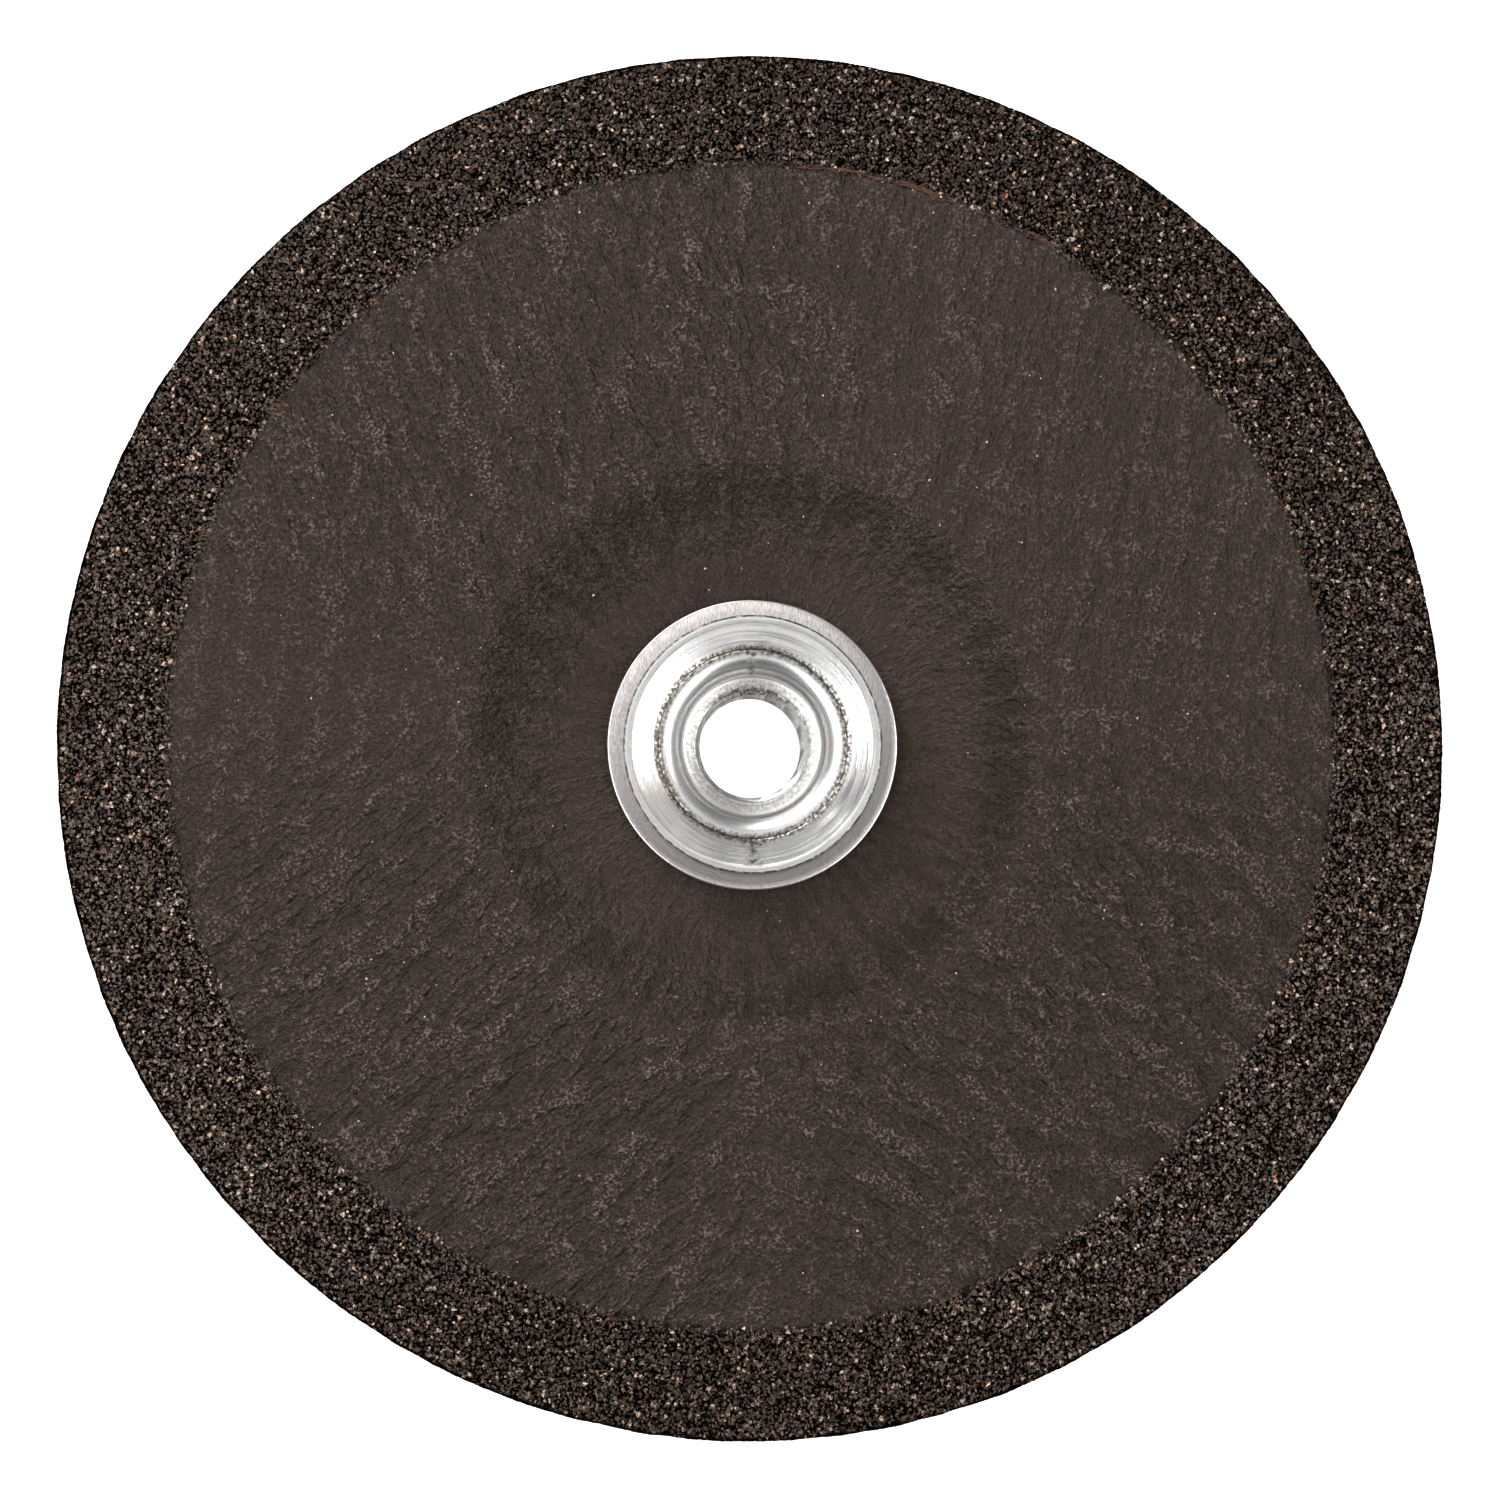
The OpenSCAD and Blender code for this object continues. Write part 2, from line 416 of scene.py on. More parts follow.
@dataclass(frozen=True)
class Weave:
    """The glass cloth's lattice, whose relief shows through paper and resin.

    Attributes:
        warp_pitch: Distance between warp strands.
        weft_pitch: Distance between weft strands.
        turn_deg: Angle of the lattice to the axes.
        strand_w: Width of a strand.
    """

    warp_pitch: float = 5.6
    weft_pitch: float = 5.3
    turn_deg: float = -8.0
    strand_w: float = 1.6

    def relief(self, x: np.ndarray, y: np.ndarray, sway: float, seed: int) -> tuple[np.ndarray, np.ndarray]:
        """Height of the warp and of the weft, each from 0 between strands to 1 on a strand.

        A strand is a bell, exp(-(d / half width)^2), over the distance d to its middle line, which
        sways to either side by noise.

        Args:
            x: First coordinate, in millimetres.
            y: Second coordinate.
            sway: How far strands wander.
            seed: Number that sets how they wander.

        Returns:
            Two arrays, of the warp and the weft.
        """
        turn = math.radians(self.turn_deg)
        u = x * math.cos(turn) + y * math.sin(turn)
        v = y * math.cos(turn) - x * math.sin(turn)
        u_path = u + sway * layered_noise(u / 9, v / 16, seed)
        v_path = v + sway * layered_noise(u / 16, v / 9, seed + 7)
        half = self.strand_w / 2
        warp = np.abs((u_path / self.warp_pitch + 0.5) % 1.0 - 0.5) * self.warp_pitch
        weft = np.abs((v_path / self.weft_pitch + 0.5) % 1.0 - 0.5) * self.weft_pitch
        return np.exp(-((warp / half) ** 2)), np.exp(-((weft / half) ** 2))


class NodeTree:
    """Short calls for building one node tree."""

    def __init__(self, tree: bpy.types.NodeTree) -> None:
        """Wrap a node tree."""
        self.tree = tree

    def add(self, kind: str, inputs: dict | None = None, **settings: object) -> bpy.types.Node:
        """Add a node.

        Args:
            kind: Blender's name of the node type.
            inputs: Values or sockets for its inputs, by name or index.
            **settings: Properties of the node.

        Returns:
            The node.
        """
        node = self.tree.nodes.new(kind)
        for name, value in settings.items():
            setattr(node, name, value)
        for name, value in (inputs or {}).items():
            self.feed(node.inputs[name], value)
        return node

    def feed(self, socket: bpy.types.NodeSocket, value: object) -> None:
        """Link a socket to an input, or set the input's value."""
        if isinstance(value, bpy.types.NodeSocket):
            self.tree.links.new(value, socket)
        else:
            socket.default_value = value

    def math(self, operation: str, a: object, b: object = 0.0, clamp: bool = False) -> bpy.types.NodeSocket:
        """Output of a Math node on a and b."""
        return self.add("ShaderNodeMath", {0: a, 1: b}, operation=operation, use_clamp=clamp).outputs[0]

    def ramp(self, value: object, low: float, high: float, to_low: float = 0.0, to_high: float = 1.0) -> bpy.types.NodeSocket:
        """Output of a Map Range node that eases value from one range to another."""
        node = self.add(
            "ShaderNodeMapRange",
            {"Value": value, "From Min": low, "From Max": high, "To Min": to_low, "To Max": to_high},
            interpolation_type="SMOOTHSTEP",
        )
        return node.outputs["Result"]

    def mix(self, factor: object, a: object, b: object, blend: str = "MIX") -> bpy.types.NodeSocket:
        """Output of a colour Mix node."""
        node = self.add("ShaderNodeMix", data_type="RGBA", blend_type=blend)
        self.feed(node.inputs[0], factor)
        self.feed(node.inputs[6], a)
        self.feed(node.inputs[7], b)
        return node.outputs[2]

    def noise(self, place: object, scale: float, detail: float = 2.0, rough: float = 0.5) -> bpy.types.NodeSocket:
        """Value output of a Noise node."""
        return self.add(
            "ShaderNodeTexNoise", {"Vector": place, "Scale": scale, "Detail": detail, "Roughness": rough}
        ).outputs[0]

    def object_place(self) -> bpy.types.NodeSocket:
        """Object coordinates."""
        return self.add("ShaderNodeTexCoord").outputs["Object"]


def new_group(name: str, inputs: dict[str, tuple[str, object]], outputs: dict[str, str]) -> tuple[NodeTree, bpy.types.Node, bpy.types.Node]:
    """Start a shader node group with named sockets.

    Args:
        name: Name of the group.
        inputs: Socket type and default of each input. A default of None is left as it is.
        outputs: Socket type of each output.

    Returns:
        The wrapped tree, its input node and its output node.
    """
    tree = bpy.data.node_groups.new(name, "ShaderNodeTree")
    for label, (kind, default) in inputs.items():
        socket = tree.interface.new_socket(name=label, in_out="INPUT", socket_type=kind)
        if default is not None:
            socket.default_value = default
    for label, kind in outputs.items():
        tree.interface.new_socket(name=label, in_out="OUTPUT", socket_type=kind)
    wrapped = NodeTree(tree)
    return wrapped, wrapped.add("NodeGroupInput"), wrapped.add("NodeGroupOutput")


class Effects:
    """The node groups that several finishes share."""

    def __init__(self) -> None:
        """Build each group once."""
        self.mottle = self.make_mottle()
        self.rings = self.make_rings()
        self.grit = self.make_grit()
        self.creases = self.make_creases()
        self.folds = self.make_folds()

    @staticmethod
    def make_folds() -> bpy.types.NodeTree:
        """Fine folds that run one way in each quarter of the disc, as FOLD_RUNS lists them.

        In each quarter the noise is stretched along the fold. Its weight is the eased cosine of the
        angle from the quarter's middle.
        """
        group, given, out = new_group(
            "bias_folds",
            {
                "Vector": ("NodeSocketVector", None),
                "Across": ("NodeSocketFloat", 900.0),
                "Along": ("NodeSocketFloat", 220.0),
            },
            {"Height": "NodeSocketFloat"},
        )
        spot = given.outputs["Vector"]
        parts = group.add("ShaderNodeSeparateXYZ", {0: spot})
        flat = group.add("ShaderNodeCombineXYZ", {0: parts.outputs[0], 1: parts.outputs[1]})
        heading = group.add("ShaderNodeVectorMath", {0: flat.outputs[0]}, operation="NORMALIZE").outputs[0]
        stretch = group.add(
            "ShaderNodeCombineXYZ", {0: given.outputs["Along"], 1: given.outputs["Across"], 2: given.outputs["Along"]}
        )
        total = 0.0
        for place_deg, fold_deg, strength in FOLD_RUNS:
            middle = (math.cos(math.radians(place_deg)), math.sin(math.radians(place_deg)), 0.0)
            near = group.add("ShaderNodeVectorMath", {0: heading, 1: middle}, operation="DOT_PRODUCT").outputs["Value"]
            turned = group.add("ShaderNodeVectorRotate", {"Vector": spot, "Angle": -math.radians(fold_deg)}, rotation_type="Z_AXIS")
            drawn = group.add("ShaderNodeVectorMath", {0: turned.outputs[0], 1: stretch.outputs[0]}, operation="MULTIPLY")
            field = group.math("SUBTRACT", group.noise(drawn.outputs[0], 1.0, 3.0, 0.6), 0.5)
            total = group.math("ADD", group.math("MULTIPLY", field, group.ramp(near, 0.5, 0.93, 0.0, strength)), total)
        group.feed(out.inputs["Height"], total)
        return group.tree

    @staticmethod
    def make_creases() -> bpy.types.NodeTree:
        """Fine creases along the radius: noise over a cylinder of fixed girth.

        The point is taken round a circle whose radius is Round and along an axis by the distance
        from the disc's axis times Along, so the pattern closes on itself round the disc.
        """
        group, given, out = new_group(
            "radial_creases",
            {
                "Vector": ("NodeSocketVector", None),
                "Round": ("NodeSocketFloat", 80.0),
                "Along": ("NodeSocketFloat", 600.0),
            },
            {"Height": "NodeSocketFloat", "Radius": "NodeSocketFloat"},
        )
        parts = group.add("ShaderNodeSeparateXYZ", {0: given.outputs["Vector"]})
        flat = group.add("ShaderNodeCombineXYZ", {0: parts.outputs[0], 1: parts.outputs[1]})
        radius = group.add("ShaderNodeVectorMath", {0: flat.outputs[0]}, operation="LENGTH").outputs["Value"]
        heading = group.add("ShaderNodeVectorMath", {0: flat.outputs[0]}, operation="NORMALIZE").outputs[0]
        circle = group.add("ShaderNodeVectorMath", {0: heading, "Scale": given.outputs["Round"]}, operation="SCALE")
        lift = group.add("ShaderNodeCombineXYZ", {2: group.math("MULTIPLY", radius, given.outputs["Along"])})
        place = group.add("ShaderNodeVectorMath", {0: circle.outputs[0], 1: lift.outputs[0]}, operation="ADD")
        field = group.noise(place.outputs[0], 1.0, 3.0, 0.6)
        group.feed(out.inputs["Height"], group.math("SUBTRACT", field, 0.5))
        group.feed(out.inputs["Radius"], radius)
        return group.tree

    @staticmethod
    def make_mottle() -> bpy.types.NodeTree:
        """Cloudy patches: coarse noise bent by finer noise, eased between two limits."""
        group, given, out = new_group(
            "cloudy_patches",
            {
                "Vector": ("NodeSocketVector", None),
                "Patch scale": ("NodeSocketFloat", 100.0),
                "Low": ("NodeSocketFloat", 0.35),
                "High": ("NodeSocketFloat", 0.65),
            },
            {"Mask": "NodeSocketFloat"},
        )
        coarse = group.add(
            "ShaderNodeTexNoise",
            {"Vector": given.outputs["Vector"], "Scale": given.outputs["Patch scale"], "Detail": 5.0, "Roughness": 0.6, "Distortion": 0.4},
        )
        eased = group.add(
            "ShaderNodeMapRange",
            {"Value": coarse.outputs[0], "From Min": given.outputs["Low"], "From Max": given.outputs["High"]},
            interpolation_type="SMOOTHSTEP",
        )
        group.feed(out.inputs["Mask"], eased.outputs["Result"])
        return group.tree

    @staticmethod
    def make_rings() -> bpy.types.NodeTree:
        """Fine lines that a turning or spinning tool leaves: noise along the radius and the axis."""
        group, given, out = new_group(
            "turned_lines",
            {
                "Vector": ("NodeSocketVector", None),
                "Line scale": ("NodeSocketFloat", 3000.0),
                "Breaks": ("NodeSocketFloat", 60.0),
            },
            {"Lines": "NodeSocketFloat", "Scuffs": "NodeSocketFloat"},
        )
        parts = group.add("ShaderNodeSeparateXYZ", {0: given.outputs["Vector"]})
        flat = group.add("ShaderNodeCombineXYZ", {0: parts.outputs[0], 1: parts.outputs[1]})
        radius = group.add("ShaderNodeVectorMath", {0: flat.outputs[0]}, operation="LENGTH").outputs["Value"]
        across = group.math("MULTIPLY", group.math("ADD", radius, parts.outputs[2]), given.outputs["Line scale"])
        along = group.add("ShaderNodeVectorMath", {0: given.outputs["Vector"], "Scale": given.outputs["Breaks"]}, operation="SCALE")
        broken = group.noise(along.outputs[0], 1.0, 2.0)
        place = group.add("ShaderNodeCombineXYZ", {0: across, 1: group.math("MULTIPLY", broken, 2.0)})
        lines = group.noise(place.outputs[0], 1.0, 6.0, 0.75)
        scuffs = group.noise(given.outputs["Vector"], 900.0, 5.0, 0.7)
        group.feed(out.inputs["Lines"], lines)
        group.feed(out.inputs["Scuffs"], group.math("MULTIPLY", scuffs, group.ramp(broken, 0.35, 0.7)))
        return group.tree

    @staticmethod
    def make_grit() -> bpy.types.NodeTree:
        """Packed grain: the distance to cell middles as height, and a random tone for each cell."""
        group, given, out = new_group(
            "packed_grain",
            {"Vector": ("NodeSocketVector", None), "Grain scale": ("NodeSocketFloat", 1400.0)},
            {"Height": "NodeSocketFloat", "Tone": "NodeSocketFloat"},
        )
        cells = group.add(
            "ShaderNodeTexVoronoi",
            {"Vector": given.outputs["Vector"], "Scale": given.outputs["Grain scale"], "Randomness": 1.0},
            feature="F1",
        )
        tone = group.add("ShaderNodeSeparateColor", {0: cells.outputs["Color"]}).outputs[0]
        group.feed(out.inputs["Height"], group.math("SUBTRACT", 1.0, cells.outputs["Distance"]))
        group.feed(out.inputs["Tone"], tone)
        return group.tree

    @staticmethod
    def place(tree: NodeTree, group: bpy.types.NodeTree, inputs: dict) -> bpy.types.Node:
        """Put a group into a material.

        Args:
            tree: The material's tree.
            group: The group.
            inputs: Values or sockets for its inputs.

        Returns:
            The group's node.
        """
        node = tree.add("ShaderNodeGroup", node_tree=group)
        for name, value in inputs.items():
            tree.feed(node.inputs[name], value)
        return node


def new_material(name: str) -> tuple[bpy.types.Material, NodeTree, bpy.types.Node]:
    """Start a material.

    Args:
        name: Name of the material.

    Returns:
        The material, its wrapped tree and its Principled BSDF.
    """
    material = bpy.data.materials.new(name)
    material.use_nodes = True
    tree = NodeTree(material.node_tree)
    return material, tree, material.node_tree.nodes["Principled BSDF"]


@dataclass(frozen=True)
class GrainFinish:
    """Abrasive grain, coated with dark resin.

    Attributes:
        dark: Colour of the darkest grains.
        middle: Colour of most grains.
        pale: Colour of the palest grains.
        rusty: Colour of the few rusty ones.
        gloss: Tint of the resin coat's gloss.
        roughness: Roughness of the resin coat.
    """

    dark: tuple = (0.0025, 0.0016, 0.0012, 1.0)
    middle: tuple = (0.021, 0.0120, 0.0080, 1.0)
    pale: tuple = (0.38, 0.302, 0.258, 1.0)
    rusty: tuple = (0.24, 0.075, 0.03, 1.0)
    gloss: tuple = (1.0, 0.79, 0.68, 1.0)
    roughness: float = 0.16

    def make(self, effects: Effects, from_points: bool) -> bpy.types.Material:
        """Build the material.

        Args:
            effects: The shared node groups.
            from_points: True for loose grains, which carry their own tone. Otherwise the tone and
                the relief come from packed cells.

        Returns:
            The material.
        """
        material, tree, shader = new_material("grain_loose" if from_points else "grain_packed")
        place = tree.object_place()
        cells = Effects.place(tree, effects.grit, {"Vector": place, "Grain scale": 1350.0})
        if from_points:
            tone = tree.add("ShaderNodeAttribute", attribute_name="tone").outputs["Fac"]
            height = tree.noise(place, 3600.0, 3.0)
        else:
            tone = cells.outputs["Tone"]
            height = cells.outputs["Height"]
        patches = Effects.place(tree, effects.mottle, {"Vector": place, "Patch scale": 260.0})
        body = tree.mix(tree.ramp(tone, 0.05, 0.6), self.dark, self.middle)
        body = tree.mix(tree.ramp(tone, 0.6, 1.0), body, self.pale)
        body = tree.mix(tree.ramp(tone, 0.975, 0.98), body, self.rusty)
        # Painted shade: in the gaps between grains, on the bed under them and along the band's outer border, the colour
        # goes near black and the gloss goes off.
        painted_shade = tree.add("ShaderNodeAttribute", attribute_name="painted_shade").outputs["Fac"]
        body = tree.mix(painted_shade, body, (0.0008, 0.0006, 0.0005, 1.0))
        tree.feed(shader.inputs["Specular IOR Level"], tree.ramp(painted_shade, 0.0, 0.5, 0.7, 0.0))
        shader.inputs["Specular Tint"].default_value = self.gloss
        speckle = tree.ramp(tree.noise(place, 3000.0, 3.0, 0.7), 0.40, 0.60, 0.05, 2.4)
        body = tree.mix(1.0, body, speckle, "MULTIPLY")
        warm = tree.mix(patches.outputs["Mask"], (1.15, 0.97, 0.84, 1.0), (0.98, 1.0, 0.98, 1.0))
        tree.feed(shader.inputs["Base Color"], tree.mix(1.0, body, warm, "MULTIPLY"))
        shader.inputs["Roughness"].default_value = self.roughness
        bump = tree.add("ShaderNodeBump", {"Height": height, "Strength": 1.0, "Distance": 0.00005 if from_points else 0.0003})
        tree.feed(shader.inputs["Normal"], bump.outputs["Normal"])
        return material


@dataclass(frozen=True)
class PaperFinish:
    """Matt grey-brown lining paper with fine crumple, resin stains and paler rubbed fibres, with painted shade in the
    valleys of its folds, painted highlight on its crests and painted light that makes the sunken centre paler.

    Attributes:
        base: Main colour.
        stain_and_valley_shade: Colour where resin has soaked through, and painted shade in the valleys of the folds.
        rub_and_highlight_colour: Colour of rubbed fibres, and of the painted highlight along the crests.
        in_dish: What the colour is multiplied by in the sunken centre: painted light that makes it paler against the
            shade there, with a bluer tint.
        on_level: What it is multiplied by on the level ring: painted shade that makes it darker, with a warmer tint.
        sheen: Tint of its gloss.
        roughness: Roughness of the paper.
    """

    base: tuple = (0.0175, 0.0113, 0.0084, 1.0)
    stain_and_valley_shade: tuple = (0.0125, 0.0080, 0.0058, 1.0)
    rub_and_highlight_colour: tuple = (0.155, 0.121, 0.105, 1.0)
    in_dish: tuple = (3.2, 3.6, 4.05, 1.0)
    on_level: tuple = (0.62, 0.56, 0.50, 1.0)
    sheen: tuple = (1.0, 0.78, 0.70, 1.0)
    roughness: float = 0.3

    def make(self, effects: Effects) -> bpy.types.Material:
        """Build the material from the shared node groups."""
        material, tree, shader = new_material("lining_paper")
        place = tree.object_place()
        stains = Effects.place(tree, effects.mottle, {"Vector": place, "Patch scale": 90.0, "Low": 0.38, "High": 0.68})
        fibres = Effects.place(tree, effects.mottle, {"Vector": place, "Patch scale": 2500.0, "Low": 0.51, "High": 0.61})
        creases = Effects.place(tree, effects.creases, {"Vector": place, "Round": 45.0, "Along": 800.0})
        folds = Effects.place(tree, effects.folds, {"Vector": place, "Across": 900.0, "Along": 330.0})
        wide = Effects.place(tree, effects.folds, {"Vector": place, "Across": 420.0, "Along": 170.0})
        radius = creases.outputs["Radius"]
        level = tree.ramp(radius, 0.031, 0.041)
        bias = tree.math("ADD", folds.outputs["Height"], tree.math("MULTIPLY", wide.outputs["Height"], 1.5))
        bias = tree.math("MULTIPLY", bias, level)
        crest = tree.add("ShaderNodeAttribute", attribute_name="crest").outputs["Fac"]
        colour = tree.mix(tree.math("MULTIPLY", stains.outputs["Mask"], 0.5), self.base, self.stain_and_valley_shade)
        # Painted shade: the valleys of the folds are darkened towards the stain colour.
        colour = tree.mix(tree.ramp(crest, 0.2, -0.9, 0.0, 0.6), colour, self.stain_and_valley_shade)
        # Painted light: the sunken centre is made paler and the level ring darker, to even out the shade that falls in
        # the centre.
        colour = tree.mix(1.0, colour, tree.mix(tree.ramp(radius, 0.024, 0.040), self.in_dish, self.on_level), "MULTIPLY")
        # Paler fibres, most on the crests and high folds: partly rubbed wear, partly painted highlight along the
        # ridges.
        rub_and_highlight_mask = tree.math("MULTIPLY", fibres.outputs["Mask"], tree.ramp(crest, -0.8, 0.7, 0.22, 0.80))
        rub_and_highlight_mask = tree.math("MULTIPLY", rub_and_highlight_mask, tree.ramp(bias, -0.15, 0.3, 0.4, 1.6))
        rub_and_highlight_mask = tree.math("MULTIPLY", rub_and_highlight_mask, tree.ramp(radius, 0.024, 0.031, 0.75, 1.0), clamp=True)
        tree.feed(shader.inputs["Base Color"], tree.mix(rub_and_highlight_mask, colour, self.rub_and_highlight_colour))
        shader.inputs["Roughness"].default_value = self.roughness
        shader.inputs["Specular IOR Level"].default_value = 0.53
        shader.inputs["Specular Tint"].default_value = self.sheen
        radial = tree.math("MULTIPLY", creases.outputs["Height"], tree.ramp(level, 0.0, 1.0, 2.3, 0.0))
        leather = tree.noise(place, 2400.0, 3.0, 0.6)
        fine = tree.math("ADD", tree.math("ADD", radial, bias), tree.math("MULTIPLY", leather, 0.5))
        bump = tree.add("ShaderNodeBump", {"Height": fine, "Strength": 1.0, "Distance": 0.0009})
        tree.feed(shader.inputs["Normal"], bump.outputs["Normal"])
        return material


@dataclass(frozen=True)
class TurnedMetal:
    """Bare metal with the lines of a turning tool.

    Attributes:
        name: Name of the material.
        colour: Colour of the clean metal.
        smear: Colour of the dull smears between the bright lines.
        roughness_low: Roughness of the bright lines.
        roughness_high: Roughness of the dull ones.
        line_scale: Lines for each metre of radius.
        relief: Depth of the lines, in metres.
        anisotropy: How far the gloss is drawn out across the lines.
        tint: What the colour is multiplied by in heat-tinted patches.
    """

    name: str
    colour: tuple
    smear: tuple
    roughness_low: float
    roughness_high: float
    line_scale: float
    relief: float
    anisotropy: float
    tint: tuple = (1.0, 0.86, 0.78, 1.0)

    def make(self, effects: Effects) -> bpy.types.Material:
        """Build the material from the shared node groups."""
        material, tree, shader = new_material(self.name)
        place = tree.object_place()
        lines = Effects.place(tree, effects.rings, {"Vector": place, "Line scale": self.line_scale, "Breaks": 70.0})
        patches = Effects.place(tree, effects.mottle, {"Vector": place, "Patch scale": 220.0, "Low": 0.4, "High": 0.75})
        dull = tree.math("MULTIPLY", tree.ramp(lines.outputs["Lines"], 0.47, 0.62), 0.85)
        dull = tree.math("ADD", dull, tree.math("MULTIPLY", patches.outputs["Mask"], 0.2), clamp=True)
        # Dirt along the score, and painted shadow, painted reflections and painted shade elsewhere on the hub, all read
        # from one attribute.
        dirt_and_painted_dark = tree.add("ShaderNodeAttribute", attribute_name="dirt_and_painted_dark").outputs["Fac"]
        dirt_and_painted_dark_mix = tree.math("MULTIPLY", dirt_and_painted_dark, tree.ramp(tree.noise(place, 2200.0, 3.0, 0.6), 0.36, 0.6, 0.55, 1.2), clamp=True)
        tinted = Effects.place(tree, effects.mottle, {"Vector": place, "Patch scale": 130.0, "Low": 0.5, "High": 0.72})
        colour = tree.mix(dull, self.colour, self.smear)
        colour = tree.mix(tree.math("MULTIPLY", tinted.outputs["Mask"], 0.5), colour, tree.mix(1.0, colour, self.tint, "MULTIPLY"))
        # Dirt and painted shade, shadow and reflections turn the metal this dark colour, and rougher below.
        colour = tree.mix(dirt_and_painted_dark_mix, colour, (0.105, 0.092, 0.072, 1.0))
        tree.feed(shader.inputs["Base Color"], colour)
        glossy = tree.ramp(dull, 0.0, 1.0, self.roughness_low, self.roughness_high)
        matt = tree.add("ShaderNodeAttribute", attribute_name="matt").outputs["Fac"]
        rough = tree.math("ADD", tree.math("MULTIPLY", dirt_and_painted_dark_mix, 0.3), tree.math("MULTIPLY", matt, 0.17))
        tree.feed(shader.inputs["Roughness"], tree.math("ADD", glossy, rough))
        shader.inputs["Metallic"].default_value = 1.0
        shader.inputs["Anisotropic"].default_value = self.anisotropy
        shader.inputs["Anisotropic Rotation"].default_value = 0.25
        tangent = tree.add("ShaderNodeTangent", direction_type="UV_MAP", uv_map="turned")
        tree.feed(shader.inputs["Tangent"], tangent.outputs[0])
        height = tree.math("ADD", lines.outputs["Lines"], tree.math("MULTIPLY", lines.outputs["Scuffs"], 0.5))
        bump = tree.add("ShaderNodeBump", {"Height": height, "Strength": 0.6, "Distance": self.relief})
        tree.feed(shader.inputs["Normal"], bump.outputs["Normal"])
        return material


@dataclass(frozen=True)
class BrushedSteel:
    """Satin steel with short brush strokes that run along Y.

    Attributes:
        colour: Colour of the steel.
        smear: Colour of its duller strokes.
        roughness: Roughness between the strokes.
    """

    colour: tuple = (0.80, 0.755, 0.74, 1.0)
    smear: tuple = (0.50, 0.465, 0.455, 1.0)
    roughness: float = 0.2

    def make(self, effects: Effects) -> bpy.types.Material:
        """Build the material from the shared node groups."""
        material, tree, shader = new_material("satin_steel")
        place = tree.object_place()
        drawn = tree.add("ShaderNodeMapping", {"Vector": place, "Rotation": (0.0, 0.0, 0.12), "Scale": (6500.0, 1500.0, 1500.0)})
        strokes = tree.noise(drawn.outputs[0], 1.0, 3.0, 0.6)
        patches = Effects.place(tree, effects.mottle, {"Vector": place, "Patch scale": 700.0, "Low": 0.4, "High": 0.7})
        dull = tree.math("MULTIPLY", tree.ramp(strokes, 0.40, 0.66), 0.6)
        dull = tree.math("ADD", dull, tree.math("MULTIPLY", patches.outputs["Mask"], 0.25), clamp=True)
        tree.feed(shader.inputs["Base Color"], tree.mix(dull, self.colour, self.smear))
        tree.feed(shader.inputs["Roughness"], tree.ramp(dull, 0.0, 1.0, self.roughness, self.roughness + 0.06))
        shader.inputs["Metallic"].default_value = 1.0
        bump = tree.add("ShaderNodeBump", {"Height": strokes, "Strength": 1.0, "Distance": 0.000008})
        tree.feed(shader.inputs["Normal"], bump.outputs["Normal"])
        return material


@dataclass(frozen=True)
class StrandFinish:
    """Glass strands soaked with resin that has cured rusty brown.

    Attributes:
        name: Name of the material.
        clean: Colour of clean strands.
        cured: Colour of cured resin.
    """

    name: str
    clean: tuple
    cured: tuple

    def make(self, effects: Effects) -> bpy.types.Material:
        """Build the material from the shared node groups."""
        material, tree, shader = new_material(self.name)
        place = tree.object_place()
        soak = Effects.place(tree, effects.mottle, {"Vector": place, "Patch scale": 420.0})
        tree.feed(shader.inputs["Base Color"], tree.mix(soak.outputs["Mask"], self.clean, self.cured))
        shader.inputs["Roughness"].default_value = 0.45
        bump = tree.add("ShaderNodeBump", {"Height": tree.noise(place, 6000.0), "Strength": 0.4, "Distance": 0.0001})
        tree.feed(shader.inputs["Normal"], bump.outputs["Normal"])
        return material


